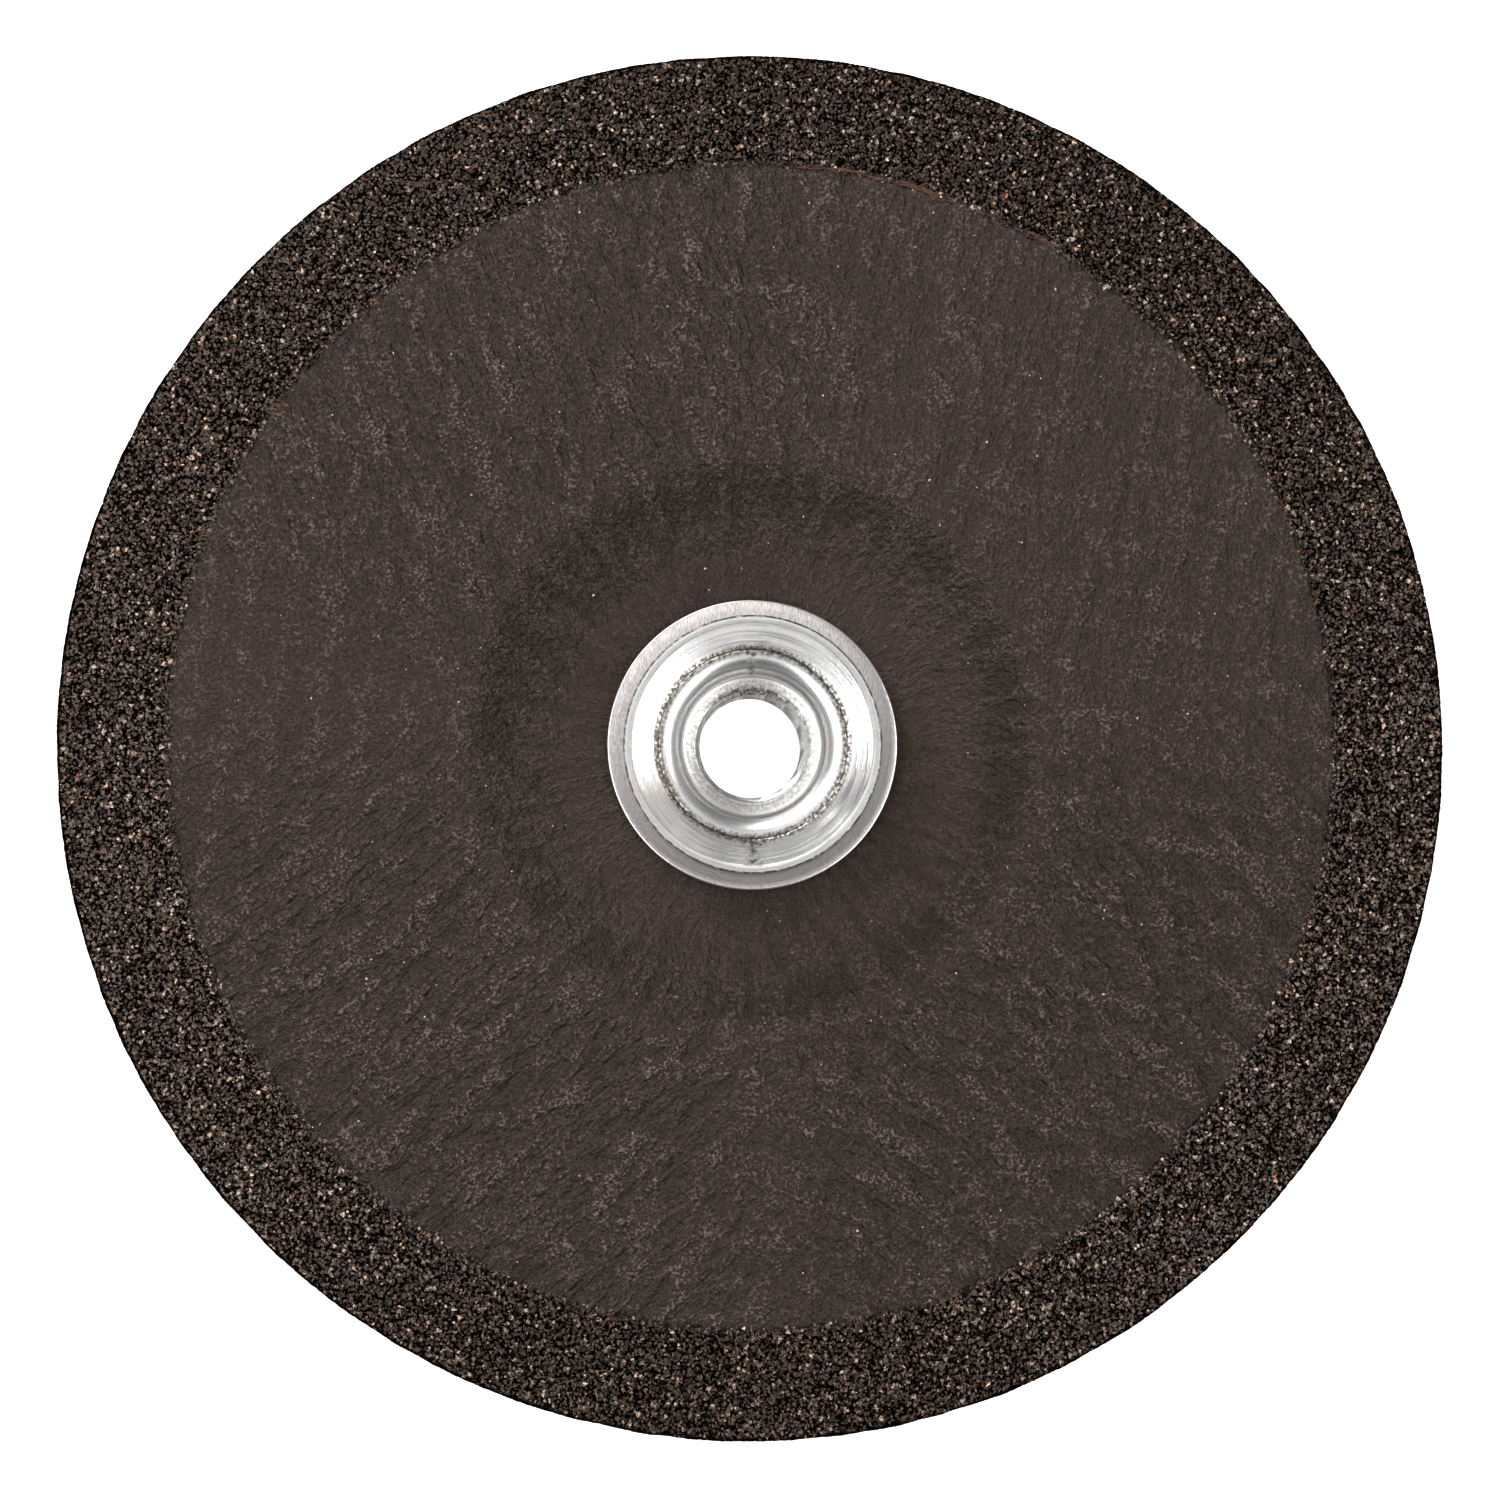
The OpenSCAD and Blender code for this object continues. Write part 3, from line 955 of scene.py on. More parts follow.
@dataclass(frozen=True)
class GrainCloud:
    """Loose-looking grains, each a distorted double pyramid with eight facets.

    Attributes:
        middle_r: Usual radius of a grain.
        spread: Share by which the radius varies.
        spacing: Distance from grain to grain.
    """

    middle_r: float = 0.32
    spread: float = 0.25
    spacing: float = 0.44

    @staticmethod
    def block() -> tuple[np.ndarray, np.ndarray]:
        """One corner at each end of the three axes, and a triangle for each of the eight octants.

        Returns:
            The 6 corners at radius 1 and the index array of the 8 faces.
        """
        corners = np.repeat(np.eye(3), 2, axis=0) * np.array([1, -1] * 3)[:, None]
        octants = [(i, j, k) for i in (0, 1) for j in (2, 3) for k in (4, 5)]
        faces = np.array([(i, j, k) if (i + j + k) % 2 == 0 else (j, i, k) for i, j, k in octants])
        return corners, faces

    @staticmethod
    def turns(count: int, rng: np.random.Generator) -> np.ndarray:
        """Random rotations: each the matrix of a random unit quaternion.

        Args:
            count: How many.
            rng: Source of random numbers.

        Returns:
            An array of count 3 by 3 matrices.
        """
        q = rng.normal(size=(count, 4))
        w, x, y, z = (q / np.linalg.norm(q, axis=1, keepdims=True)).T
        rows = [
            [1 - 2 * (y * y + z * z), 2 * (x * y - z * w), 2 * (x * z + y * w)],
            [2 * (x * y + z * w), 1 - 2 * (x * x + z * z), 2 * (y * z - x * w)],
            [2 * (x * z - y * w), 2 * (y * z + x * w), 1 - 2 * (x * x + y * y)],
        ]
        return np.moveaxis(np.array(rows), 2, 0)

    def grow(self, centres: np.ndarray, scale: np.ndarray, rng: np.random.Generator) -> tuple[np.ndarray, np.ndarray]:
        """Place one grain at each centre.

        Each corner of the double pyramid is pushed in or out at random, the grain is stretched along
        its own axes, turned at random, sized and moved to its centre.

        Args:
            centres: Where the grains go.
            scale: Size of each grain, as a share of the usual one.
            rng: Source of random numbers.

        Returns:
            The corners, as an array of grain by corner by axis, and the index array of all faces.
        """
        corners, faces = self.block()
        count = len(centres)
        push = rng.uniform(0.65, 1.3, size=(count, len(corners), 1))
        stretch = rng.uniform(0.6, 1.5, size=(count, 1, 3))
        shapes = np.einsum("nij,nkj->nki", self.turns(count, rng), corners[None] * push * stretch)
        radius = self.middle_r * scale * rng.uniform(1 - self.spread, 1 + self.spread, size=count)
        points = centres[:, None, :] + shapes * radius[:, None, None]
        offsets = np.arange(count)[:, None, None] * len(corners)
        return points, (faces[None] + offsets).reshape(-1, 3)

    def lattice(self, width: float, height: float, rng: np.random.Generator) -> np.ndarray:
        """Points about one spacing apart over a rectangle: a jittered lattice of triangles.

        Args:
            width: Width of the rectangle, which starts at 0.
            height: Height of the rectangle, which starts at 0.
            rng: Source of random numbers.

        Returns:
            One row for each point.
        """
        row_gap = self.spacing * math.sqrt(3) / 2
        columns = round(width / self.spacing)
        rows = round(height / row_gap)
        i, j = np.meshgrid(np.arange(columns), np.arange(rows), indexing="ij")
        x = (i + 0.5 * (j % 2)) * width / columns
        y = (j + 0.5) * height / rows
        points = np.stack([x.ravel(), y.ravel()], -1)
        return points + rng.uniform(-0.42, 0.42, size=points.shape) * self.spacing


@dataclass
class AbrasiveWheel:
    """The moulded wheel: a core with its back relief, and the grain on its face and rim.

    Attributes:
        dish: The sunken centre.
        weave: The lattice of the cloths.
        rim_r: Outside radius.
        arbor_r: Radius of the hole for the hub.
        band_r: Radius at which the bare grain band starts.
        seat_r: Radius of the seat of cloth and liner.
        seat_drop: Depth of that seat.
        rim_round: Radius of the rim's corners.
        bed_depth: How far the bed of the grains lies inside the mould's face.
        columns: Points of the core's widest rings.
        cloud: The grains.
    """

    dish: Dish
    weave: Weave
    rim_r: float
    arbor_r: float
    band_r: float
    seat_r: float
    seat_drop: float = 0.64
    rim_round: float = 0.9
    bed_depth: float = 0.55
    columns: int = 612
    cloud: GrainCloud = GrainCloud()

    def core_path(self) -> tuple[list, list, list]:
        """The core's closed path in three stretches: the seat, the bed with the outer back, the inner back."""
        dish, bed = self.dish, self.bed_depth
        rim_r = self.rim_r - bed
        top, bottom = dish.work_z - bed, dish.work_z - dish.thickness
        seat = dish.line(self.arbor_r, self.seat_r, self.seat_drop, steps=5)
        front = [
            (self.seat_r, dish.work_z - self.seat_drop),
            (self.seat_r, top),
            *rounded((self.seat_r, top), (rim_r, top), (rim_r, bottom), self.rim_round, 4),
        ]
        side = [front[-1], *rounded((rim_r, top), (rim_r, bottom), (self.seat_r, bottom), self.rim_round, 4)]
        back = dish.line(self.arbor_r, side[-1][0], 0.0, back=True, steps=6)[::-1]
        split_r = dish.mouth_r + 8
        outer = [p for p in back if p[0] > split_r] + [(split_r, bottom)]
        inner = [(split_r, bottom)] + [p for p in back if p[0] < split_r]
        hole = [inner[-1], seat[0]]
        return (
            spaced(seat, 8.0),
            spaced(front, 1.2) + spaced(side, 0.9) + spaced(outer, 0.72),
            spaced(inner, 0.72) + spaced(hole, 1.5),
        )

    def core(self, material: bpy.types.Material) -> Piece:
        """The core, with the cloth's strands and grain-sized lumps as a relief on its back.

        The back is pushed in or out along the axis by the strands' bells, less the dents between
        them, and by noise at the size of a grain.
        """
        seat, middle, inner = self.core_path()
        path = np.array(seat + middle + inner)
        columns = np.array([self.columns // 2] * len(seat) + [self.columns] * len(middle) + [self.columns // 2] * len(inner))
        rings = Rings(path[:, 0], path[:, 1], columns)
        angle, r, z = rings.spread()
        ring = np.repeat(np.arange(len(path)), columns)
        on_back = (ring >= len(seat)) & (z < self.dish.back_z + 5.5) & (r > self.arbor_r + 0.5)
        x, y = r * np.cos(angle), r * np.sin(angle)
        warp, weft = self.weave.relief(x, y, 0.5, 91)
        strands = np.maximum(warp, weft)
        lumps = layered_noise(x / 1.1, y / 1.1, 17)
        fade = smooth_ramp(22.0, 24.5, r) * smooth_ramp(self.rim_r - 0.8, self.rim_r - 2.5, r)
        z = np.where(on_back, z + fade * (0.34 - 0.32 * strands + 0.12 * lumps), z)
        lumpy = (~on_back) & (r > self.seat_r - 0.1) & (ring >= len(seat))
        r = np.where(lumpy, r + 0.08 * layered_noise(angle * 90 / 1.2, z / 1.2, 5), r)
        points = np.stack([r * np.cos(angle), r * np.sin(angle), z], -1)
        quads, triangles = rings.faces()
        # Painted shade: the bed under the grains is marked for the near-black colour of the gaps.
        bed = smooth_ramp(self.dish.work_z - 2.0, self.dish.work_z - 1.4, z) * (r > self.seat_r - 0.2)
        return Piece(
            "wheel_core", points, [quads, triangles], material, Slot.ABRASIVE, "abrasive_body", values={"painted_shade": bed}
        )

    def press(self, points: np.ndarray) -> np.ndarray:
        """Press points into the mould: below the work face, inside the rim and its round corners.

        Where a point lies past the centre line of the corner's arc, both ways, its distance from
        that line is cut to the corner's radius.

        Args:
            points: Corners of grains.

        Returns:
            The pressed corners.
        """
        r = np.hypot(points[..., 0], points[..., 1])
        angle = np.arctan2(points[..., 1], points[..., 0])
        turn, lumps, waves = angle / TURN, 720, 170
        uneven = layered_noise(points[..., 0] / 1.7, points[..., 1] / 1.7, 44, 2)
        height = points[..., 2]
        rim_uneven = 0.08 * noise(turn * lumps, height / 0.8, 45, lumps) + 0.16 * noise(turn * waves, height / 4, 46, waves)
        new_r = np.minimum(r, self.rim_r - 0.24 + rim_uneven)
        top, bottom = self.dish.work_z - 0.06 + 0.06 * uneven, self.dish.work_z - self.dish.thickness
        z = np.clip(points[..., 2], bottom, top)
        past_r = new_r - (self.rim_r - self.rim_round)
        past_z = np.maximum(z - (top - self.rim_round), (bottom + self.rim_round) - z)
        far = np.hypot(past_r, past_z)
        cut = np.where((past_r > 0) & (past_z > 0) & (far > self.rim_round), self.rim_round / np.maximum(far, 1e-6), 1.0)
        middle_z = (top + bottom) / 2
        new_r = np.where(cut < 1, self.rim_r - self.rim_round + past_r * cut, new_r)
        z = np.where(cut < 1, z + np.where(z > middle_z, -1, 1) * past_z * (1 - cut), z)
        share = new_r / np.maximum(r, 1e-6)
        return np.stack([points[..., 0] * share, points[..., 1] * share, z], -1)

    def painted_shade(self, points: np.ndarray, face: Face) -> np.ndarray:
        """Painted shade of each corner, from 0 at the mould's face to 1: the deeper it lies in the resin, the darker it
        is painted.
        """
        depth = self.dish.work_z - points[:, 2]
        if face is Face.RIM:
            depth = self.rim_r - np.hypot(points[:, 0], points[:, 1])
        else:
            # Painted shade along the band's outer border, where the rim rounds over and turns away from the light.
            border = smooth_ramp(self.rim_r - 0.9, self.rim_r - 0.3, np.hypot(points[:, 0], points[:, 1]))
            depth = np.maximum(depth, 0.26 * border)
        return smooth_ramp(0.07, 0.27, depth)

    def centres(self, face: Face, rng: np.random.Generator) -> np.ndarray:
        """Where the grains of one face lie, a little under the mould's face.

        Args:
            face: The face.
            rng: Source of random numbers.

        Returns:
            One row for each grain.
        """
        sink = 0.5 * self.cloud.middle_r
        if face is Face.RIM:
            low = self.dish.work_z - self.dish.thickness
            flat = self.cloud.lattice(TURN * self.rim_r, self.dish.thickness, rng)
            angle = flat[:, 0] / self.rim_r
            r = self.rim_r - sink - rng.uniform(-0.1, 0.28, len(flat)) * self.cloud.spacing
            return np.stack([r * np.cos(angle), r * np.sin(angle), low + flat[:, 1]], -1)
        flat = self.cloud.lattice(2 * self.rim_r, 2 * self.rim_r, rng) - self.rim_r
        r = np.hypot(flat[:, 0], flat[:, 1])
        flat = flat[(r > self.band_r) & (r < self.rim_r - sink)]
        z = self.dish.work_z - sink - rng.uniform(-0.12, 0.34, len(flat)) * self.cloud.spacing
        return np.stack([flat[:, 0], flat[:, 1], z], -1)

    def grains(self, face: Face, material: bpy.types.Material, parts: int, seed: int) -> list[Piece]:
        """The grains of one face, in pieces of equal sectors.

        Args:
            face: The face.
            material: Their finish.
            parts: How many pieces.
            seed: Number that sets the pattern.

        Returns:
            The pieces.
        """
        rng = np.random.default_rng(seed)
        centres = self.centres(face, rng)
        sector = np.floor((np.arctan2(centres[:, 1], centres[:, 0]) / TURN % 1.0) * parts).astype(int)
        made = []
        for part in range(parts):
            own = centres[sector == part]
            points, faces = self.cloud.grow(own, np.ones(len(own)), rng)
            tone = np.repeat(rng.beta(1.2, 2.1, len(own)), points.shape[1])
            points = self.press(points).reshape(-1, 3)
            name = f"grain_{face.value}_{part + 1}"
            values = {"tone": tone, "painted_shade": self.painted_shade(points, face)}
            made.append(Piece(name, points, [faces], material, Slot.ABRASIVE, "abrasive_body", 24.0, values))
        return made


@dataclass
class LiningPaper:
    """The crinkled paper on the face.

    Attributes:
        dish: The sunken centre.
        weave: The lattice of the cloth under it.
        hole_r: Radius of its hole.
        edge_r: Mean radius of its edge.
        thickness: Thickness of the paper.
        sink: How far its mean level lies below the work face.
        columns: Points of the widest rings.
    """

    dish: Dish
    weave: Weave
    hole_r: float
    edge_r: float
    thickness: float = 0.3
    sink: float = 0.18
    columns: int = 820

    def relief(self, x: np.ndarray, y: np.ndarray) -> np.ndarray:
        """Height of the paper above its mean level, in millimetres.

        The sum of the cloth's strands, of two sizes of folds on the level ring, which are noise
        stretched the way the folds run in each quarter, with crests higher than the valleys are
        deep, of radial gathers in the dish, which are
        noise over the angle and the radius, and of fine crumple.

        Args:
            x: First coordinate.
            y: Second coordinate.

        Returns:
            The height.
        """
        r = np.hypot(x, y)
        angle = np.arctan2(y, x)
        degrees = np.degrees(angle) % 360
        level = smooth_ramp(self.dish.mouth_r, self.dish.mouth_r + 5, r)
        warp, weft = self.weave.relief(x, y, 0.9, 3)
        broken = np.clip(0.6 + 0.6 * layered_noise(x / 7, y / 7, 41), 0.1, 1.2)
        warp_share = np.interp(degrees, [0, 90, 180, 270, 360], [0.5, 0.8, 1.0, 0.7, 0.5])
        weft_share = np.interp(degrees, [0, 90, 180, 270, 360], [0.9, 0.3, 0.4, 0.9, 0.9])
        strands = broken * (0.13 * warp * warp_share + 0.12 * weft * weft_share)
        wander = 0.7 * layered_noise(x / 8, y / 8, 57)
        folds = np.zeros_like(r)
        for part, (place_deg, fold_deg, strength) in enumerate(FOLD_RUNS):
            near = strength * smooth_ramp(0.5, 0.93, np.cos(angle - math.radians(place_deg)))
            run = math.radians(fold_deg)
            along = x * math.cos(run) + y * math.sin(run)
            across = y * math.cos(run) - x * math.sin(run) + wander
            for step, height in ((3.4, 0.13), (1.6, 0.13)):
                wave = noise(across / step, along / (3.4 * step), 11 + part)
                folds += near * height * np.where(wave > 0, 1.4, 0.5) * wave
        gathers = 120
        gathered = noise(angle / TURN * gathers + wander, r / 6.0, 29, gathers)
        gathered *= 0.09 + 0.18 * smooth_ramp(self.dish.floor_r - 4, self.dish.floor_r + 3, r)
        in_dish = smooth_ramp(self.dish.mouth_r + 3, self.dish.mouth_r - 3, r)
        crumple = layered_noise(x / 1.3, y / 1.3, 71, 2)
        return strands * level + folds * (1 - in_dish) + gathered * in_dish + 0.09 * crumple

    def edge(self, angle: np.ndarray) -> np.ndarray:
        """Radius of the uneven edge: the mean, a slow wave and fine nicks, all by noise."""
        share = angle / TURN
        slow = noise(share * 34, np.zeros_like(share), 61, 34)
        fine = noise(share * 210, np.zeros_like(share), 62, 210)
        return self.edge_r + 0.32 * slow + 0.22 * fine

    def build(self, material: bpy.types.Material) -> Piece:
        """The paper as a closed sheet: a fine upper skin, a thin edge and a plain underside."""
        top = self.dish.line(self.hole_r, self.edge_r, self.sink)
        under = self.dish.line(self.hole_r, self.edge_r, self.thickness, steps=4)[::-1]
        split_r = self.dish.mouth_r + 2
        inner = spaced([p for p in top if p[0] < split_r] + [(split_r, top[-1][1])], 0.62)
        outer = spaced([(split_r, top[-1][1]), top[-1]], 0.5)
        below = spaced(under + [top[0]], 30.0)
        path = np.array(inner + outer + [top[-1]] + below)
        on_top = np.arange(len(path)) <= len(inner) + len(outer)
        columns = np.where(on_top & (np.arange(len(path)) >= len(inner)), self.columns, self.columns // 2)
        rings = Rings(path[:, 0], path[:, 1], columns)
        angle, r, z = rings.spread()
        above = np.repeat(on_top, columns)
        x, y = r * np.cos(angle), r * np.sin(angle)
        height = self.relief(x, y)
        flat_edge = 1 - 0.6 * smooth_ramp(self.edge_r - 0.7, self.edge_r, r)
        lift = np.clip((height - height[above].mean()) * flat_edge, self.sink - self.thickness + 0.02, self.sink)
        z = np.where(above, z + lift, z)
        new_r = r + (self.edge(angle) - self.edge_r) * smooth_ramp(self.edge_r - 4, self.edge_r, r)
        points = np.stack([new_r * np.cos(angle), new_r * np.sin(angle), z], -1)
        in_dish = above & (r < self.dish.mouth_r - 3)
        on_level = above & (r > self.dish.mouth_r + 5)
        share = smooth_ramp(self.dish.mouth_r - 3, self.dish.mouth_r + 5, r)
        usual = height[in_dish].mean() * (1 - share) + height[on_level].mean() * share
        crest = np.where(above, np.clip((height - usual) / 0.08, -1, 1), 0.0)
        return Piece(
            "lining_paper", points, list(rings.faces()), material, Slot.PAPER, "face_liner", values={"crest": crest}
        )


@dataclass
class TurnedPiece:
    """A turned metal piece: stations along a closed path, each a radius and a height for every angle.

    Attributes:
        name: Name of the piece.
        replaces: The CAD node that it stands for.
        slot: Its material slot.
        columns: Points round the axis.
    """

    name: str
    replaces: str
    slot: Slot
    columns: int = 256

    def skin(self, stations: list, values: dict[str, np.ndarray], material: bpy.types.Material) -> Piece:
        """Join the stations into a closed skin with a map that runs round the axis.

        Args:
            stations: (radius, height) pairs, each a number or an array over the angles.
            values: Named numbers that the material reads, as arrays of station by angle.
            material: Finish.

        Returns:
            The piece.
        """
        angle = TURN * np.arange(self.columns) / self.columns
        r = np.stack([np.broadcast_to(s[0], angle.shape) for s in stations])
        z = np.stack([np.broadcast_to(s[1], angle.shape) for s in stations])
        points = np.stack([r * np.cos(angle), r * np.sin(angle), z], -1).reshape(-1, 3)
        rows = len(stations)
        i, k = np.meshgrid(np.arange(rows), np.arange(self.columns), indexing="ij")
        i1, k1 = (i + 1) % rows, (k + 1) % self.columns
        quads = np.stack([i * self.columns + k, i * self.columns + k1, i1 * self.columns + k1, i1 * self.columns + k], -1)
        corner_u = np.stack([k, k + 1, k + 1, k], -1) / self.columns
        corner_v = np.stack([i, i, i + 1, i + 1], -1) / rows
        uv = np.stack([corner_u, corner_v], -1).reshape(-1, 4, 2)
        return Piece(
            self.name, points, [quads.reshape(-1, 4)], material, self.slot, self.replaces, 26.0,
            {name: numbers.ravel() for name, numbers in values.items()}, uv,
        )


@dataclass
class RetainingWasher:
    """The flat washer that the lip clamps.

    Attributes:
        bore_r: Radius of its hole.
        outer_r: Outside radius.
        low_z: Height of its underside.
        high_z: Height of its upper face.
        bevel: Bevel of the upper outer edge.
        crown: Fall of the upper face from the lip to the edge.
        crown_r: Radius from which it falls.
    """

    bore_r: float
    outer_r: float
    low_z: float
    high_z: float
    bevel: float = 0.25
    crown: float = 0.03
    crown_r: float = 16.6

    def build(self, material: bpy.types.Material) -> Piece:
        """The washer, pressed slightly hollow under the lip, with a bevel and a slightly rounded outer edge."""
        turned = TurnedPiece("washer", "retaining_washer", Slot.WASHER)
        r, low, high = self.outer_r, self.low_z, self.high_z - self.crown
        bevel = rounded((r, low), (r, high), (self.crown_r, self.high_z), self.bevel, 4)
        middle = [(self.crown_r, self.high_z), (self.bore_r, self.high_z)]
        outline = [middle[-1], (self.bore_r, low), (r - 0.1, low), (r, low + 0.1), *bevel, *middle]
        return turned.skin(spaced(outline, 1.2), {}, material)


@dataclass
class SpindleHub:
    """The hub: hexagon, flange, barrel, spun lip, flare, counterbore and threaded bore.

    Attributes:
        back_z: Height of the flange's face against the wheel.
        washer_z: Height of the washer's upper face.
        top_z: Height of the lip.
        barrel_r: Outside radius of the barrel.
        lip_r: Outside radius of the lip.
        flange_r: Outside radius of the flange.
        thread_r: Minor radius of the thread.
        flat_r: Half the width across the hexagon's flats.
        hex_h: Height of the hexagon.
    """

    back_z: float
    washer_z: float
    top_z: float
    barrel_r: float
    lip_r: float
    flange_r: float
    thread_r: float
    flat_r: float = 13.5
    hex_h: float = 8.4
    hex_bevel: float = 0.6
    flange_edge: float = 1.5
    flange_foot: float = 1.0
    lead_in: float = 1.2
    thread_bevel: float = 0.6
    thread_depth: float = 1.14
    thread_pitch: float = 25.4 / 11
    skirt_t: float = 2.05
    counterbore_h: float = 1.8
    counterbore_fall: float = 0.4
    lip_t: float = 1.6
    flare_r: float = 3.1
    roll_w: float = 0.9
    roll_r: float = 0.2
    score_h: float = 0.12
    score_w: float = 0.5
    lip_lift: float = 0.3
    lip_clear_w: float = 1.8
    # Painted dark streaks, each a middle angle, lowest and highest radius and width in degrees: two painted reflections
    # across the flare and the lip's face, and painted shade at the top of the bore's wall.
    painted_dark_streaks: tuple = ((91.0, 9.3, 12.2, 2.2), (271.0, 12.4, 15.6, 5.0), (88.0, 6.4, 7.5, 40.0))

    def hexagon(self, angle: np.ndarray) -> np.ndarray:
        """Radius of the hexagon at each angle: the flats' distance over the cosine from their middle."""
        sixth = TURN / 6
        off_middle = (angle % sixth) - sixth / 2
        return self.flat_r / np.cos(off_middle)

    def outside(self, angle: np.ndarray) -> list:
        """Stations from the lip's roll down the outside to the hexagon's end.

        Args:
            angle: Angle of each column.

        Returns:
            The stations.
        """
        lip_back = (self.lip_r - self.roll_w, self.top_z)
        under = (self.lip_r, self.washer_z + self.lip_lift)
        roll = rounded(lip_back, (self.lip_r, self.top_z), under, self.roll_r, 6)
        turned = spaced(
            [lip_back, (self.lip_r - 0.34, self.top_z), *roll, under, (self.lip_r - self.lip_clear_w, self.washer_z), (self.barrel_r, self.washer_z)], 0.5
        )
        turned += spaced([(self.barrel_r, self.washer_z), (self.barrel_r, self.back_z)], 4.0)
        edge_z = self.back_z - self.flange_edge
        cone = (edge_z - self.hex_h) / (self.flange_r - self.flat_r)
        turned += spaced(
            [
                (self.barrel_r, self.back_z), (self.flange_r - 0.15, self.back_z), (self.flange_r, self.back_z - 0.15),
                (self.flange_r, edge_z + 0.25), (self.flange_r - 0.25, edge_z - 0.25 * cone),
                (self.flat_r + 3.0, self.hex_h + 3.0 * cone),
            ],
            1.6,
        )
        hexagon = self.hexagon(angle)
        foot_r = self.flat_r + self.flange_foot
        start_r = np.maximum(hexagon, foot_r)
        start_z = self.hex_h + (start_r - self.flat_r) * cone
        foot_z = self.hex_h + self.flange_foot * cone - (foot_r - hexagon)
        joint_z = np.minimum(foot_z, self.hex_h + (hexagon - self.flat_r) * cone)
        face_r = self.flat_r - self.hex_bevel
        bevel_z = (hexagon - face_r) * math.tan(math.radians(30))
        hex_side = [(hexagon, joint_z * (1 - t) + bevel_z * t) for t in np.linspace(0, 1, 6)]
        return [*turned, (self.flat_r + 3.0, self.hex_h + 3.0 * cone), (start_r, start_z), *hex_side]

    def thread(self, angle: np.ndarray, z: float, top: float) -> np.ndarray:
        """Radius of the threaded wall at one height.

        The thread is a right-handed groove. Along the pitch its depth falls from the root's flat,
        an eighth of the pitch, to the crest's flat, a quarter of it, on straight flanks. The
        bevels at both ends cut it away where they lie further out.

        Args:
            angle: Angle of each column.
            z: Height.
            top: Height of the thread's upper end.

        Returns:
            The radius at each angle.
        """
        phase = (z / self.thread_pitch - angle / TURN) % 1.0
        off_root = np.abs(phase - 0.5) * 2
        groove = self.thread_r + self.thread_depth * np.clip((0.75 - off_root) / (0.75 - 0.125), 0, 1)
        lead = self.thread_r + self.lead_in - z
        bevel = self.thread_r + z - top
        return np.maximum(np.maximum(groove, lead), bevel)

    def inside(self, angle: np.ndarray) -> list:
        """Stations from the hexagon's end through the bore and up the flare to the lip.

        Args:
            angle: Angle of each column.

        Returns:
            The stations.
        """
        face_r = self.flat_r - self.hex_bevel
        bore_r = self.barrel_r - self.skirt_t
        flare_z = self.washer_z + self.lip_t
        flare_end = bore_r + self.flare_r
        floor_z = flare_z - self.flare_r - self.counterbore_h
        thread_top = floor_z - self.counterbore_fall - self.thread_bevel
        end_face = spaced([(face_r, 0.0), (self.thread_r + self.lead_in, 0.0)], 1.6)
        rows = np.arange(0.0, thread_top + self.thread_bevel, self.thread_pitch / 14)
        wall = [(self.thread(angle, z, thread_top), z) for z in rows]
        arc = [
            (flare_end + self.flare_r * math.cos(t), flare_z - self.flare_r + self.flare_r * math.sin(t))
            for t in np.linspace(math.pi, math.pi / 2, 15)
        ]
        ragged = 0.5 * (layered_noise(angle * 9, np.zeros_like(angle), 13) + layered_noise(angle * 31, np.zeros_like(angle), 14))
        lip_face = (self.lip_r - self.roll_w, self.top_z)
        counterbore = spaced(
            [(self.thread_r + self.thread_bevel, thread_top + self.thread_bevel), (bore_r, floor_z), arc[0]], 0.5
        )
        score = [
            (flare_end + self.score_w * 0.3 + 0.05 * ragged, flare_z - 0.4 * self.score_h),
            (flare_end + self.score_w * 0.5 + 0.06 * ragged, flare_z - self.score_h * (1 + 0.5 * ragged)),
            (flare_end + self.score_w * 0.75 + 0.05 * ragged, flare_z - 0.3 * self.score_h),
        ]
        face = spaced([(flare_end + self.score_w, flare_z), lip_face], 0.3)
        return [*end_face, *wall, *counterbore, *arc, *score, *face]

    def dirt_and_painted_dark_map(self, angle: np.ndarray, r: np.ndarray, z: np.ndarray) -> np.ndarray:
        """How dark each point is made, from 0 to 1: by dirt, painted shadow, painted reflections and painted shade.

        The sum of a bell over the distance to the score, broken up by noise, which is dirt, of a painted shadow line
        along the lip's outer edge, of darkening on the counterbore's floor and in the thread, and of three painted dark
        streaks, each a bell over the angle: painted reflections across the flare and the lip's face, and painted shade
        at the top of the bore's wall.

        Args:
            angle: Angle of each column.
            r: Radius of each point.
            z: Height of each point.

        Returns:
            The darkening, in the shape of r.
        """
        bore_r = self.barrel_r - self.skirt_t
        score_r = bore_r + self.flare_r + self.score_w / 2
        spots = noise(angle * 60 / TURN * 4, r * 5, 19)
        dirt_and_painted_dark = np.exp(-(((r - score_r) / 0.75) ** 4)) * np.clip(0.95 + 0.6 * spots, 0, 1) * (z > self.washer_z)
        # Painted shadow line along the lip's outer edge, above the washer.
        dirt_and_painted_dark += 0.9 * ((r > self.lip_r - 0.22) & (z > self.washer_z))
        # Darker on the counterbore's floor and in the thread.
        dirt_and_painted_dark += 0.5 * ((r < bore_r) & (r > self.thread_r + self.thread_bevel - 0.1) & (z < self.washer_z) & (z > 12.0))
        dirt_and_painted_dark += 0.5 * ((r < self.thread_r + self.thread_depth + 0.01) & (z < 13.8))
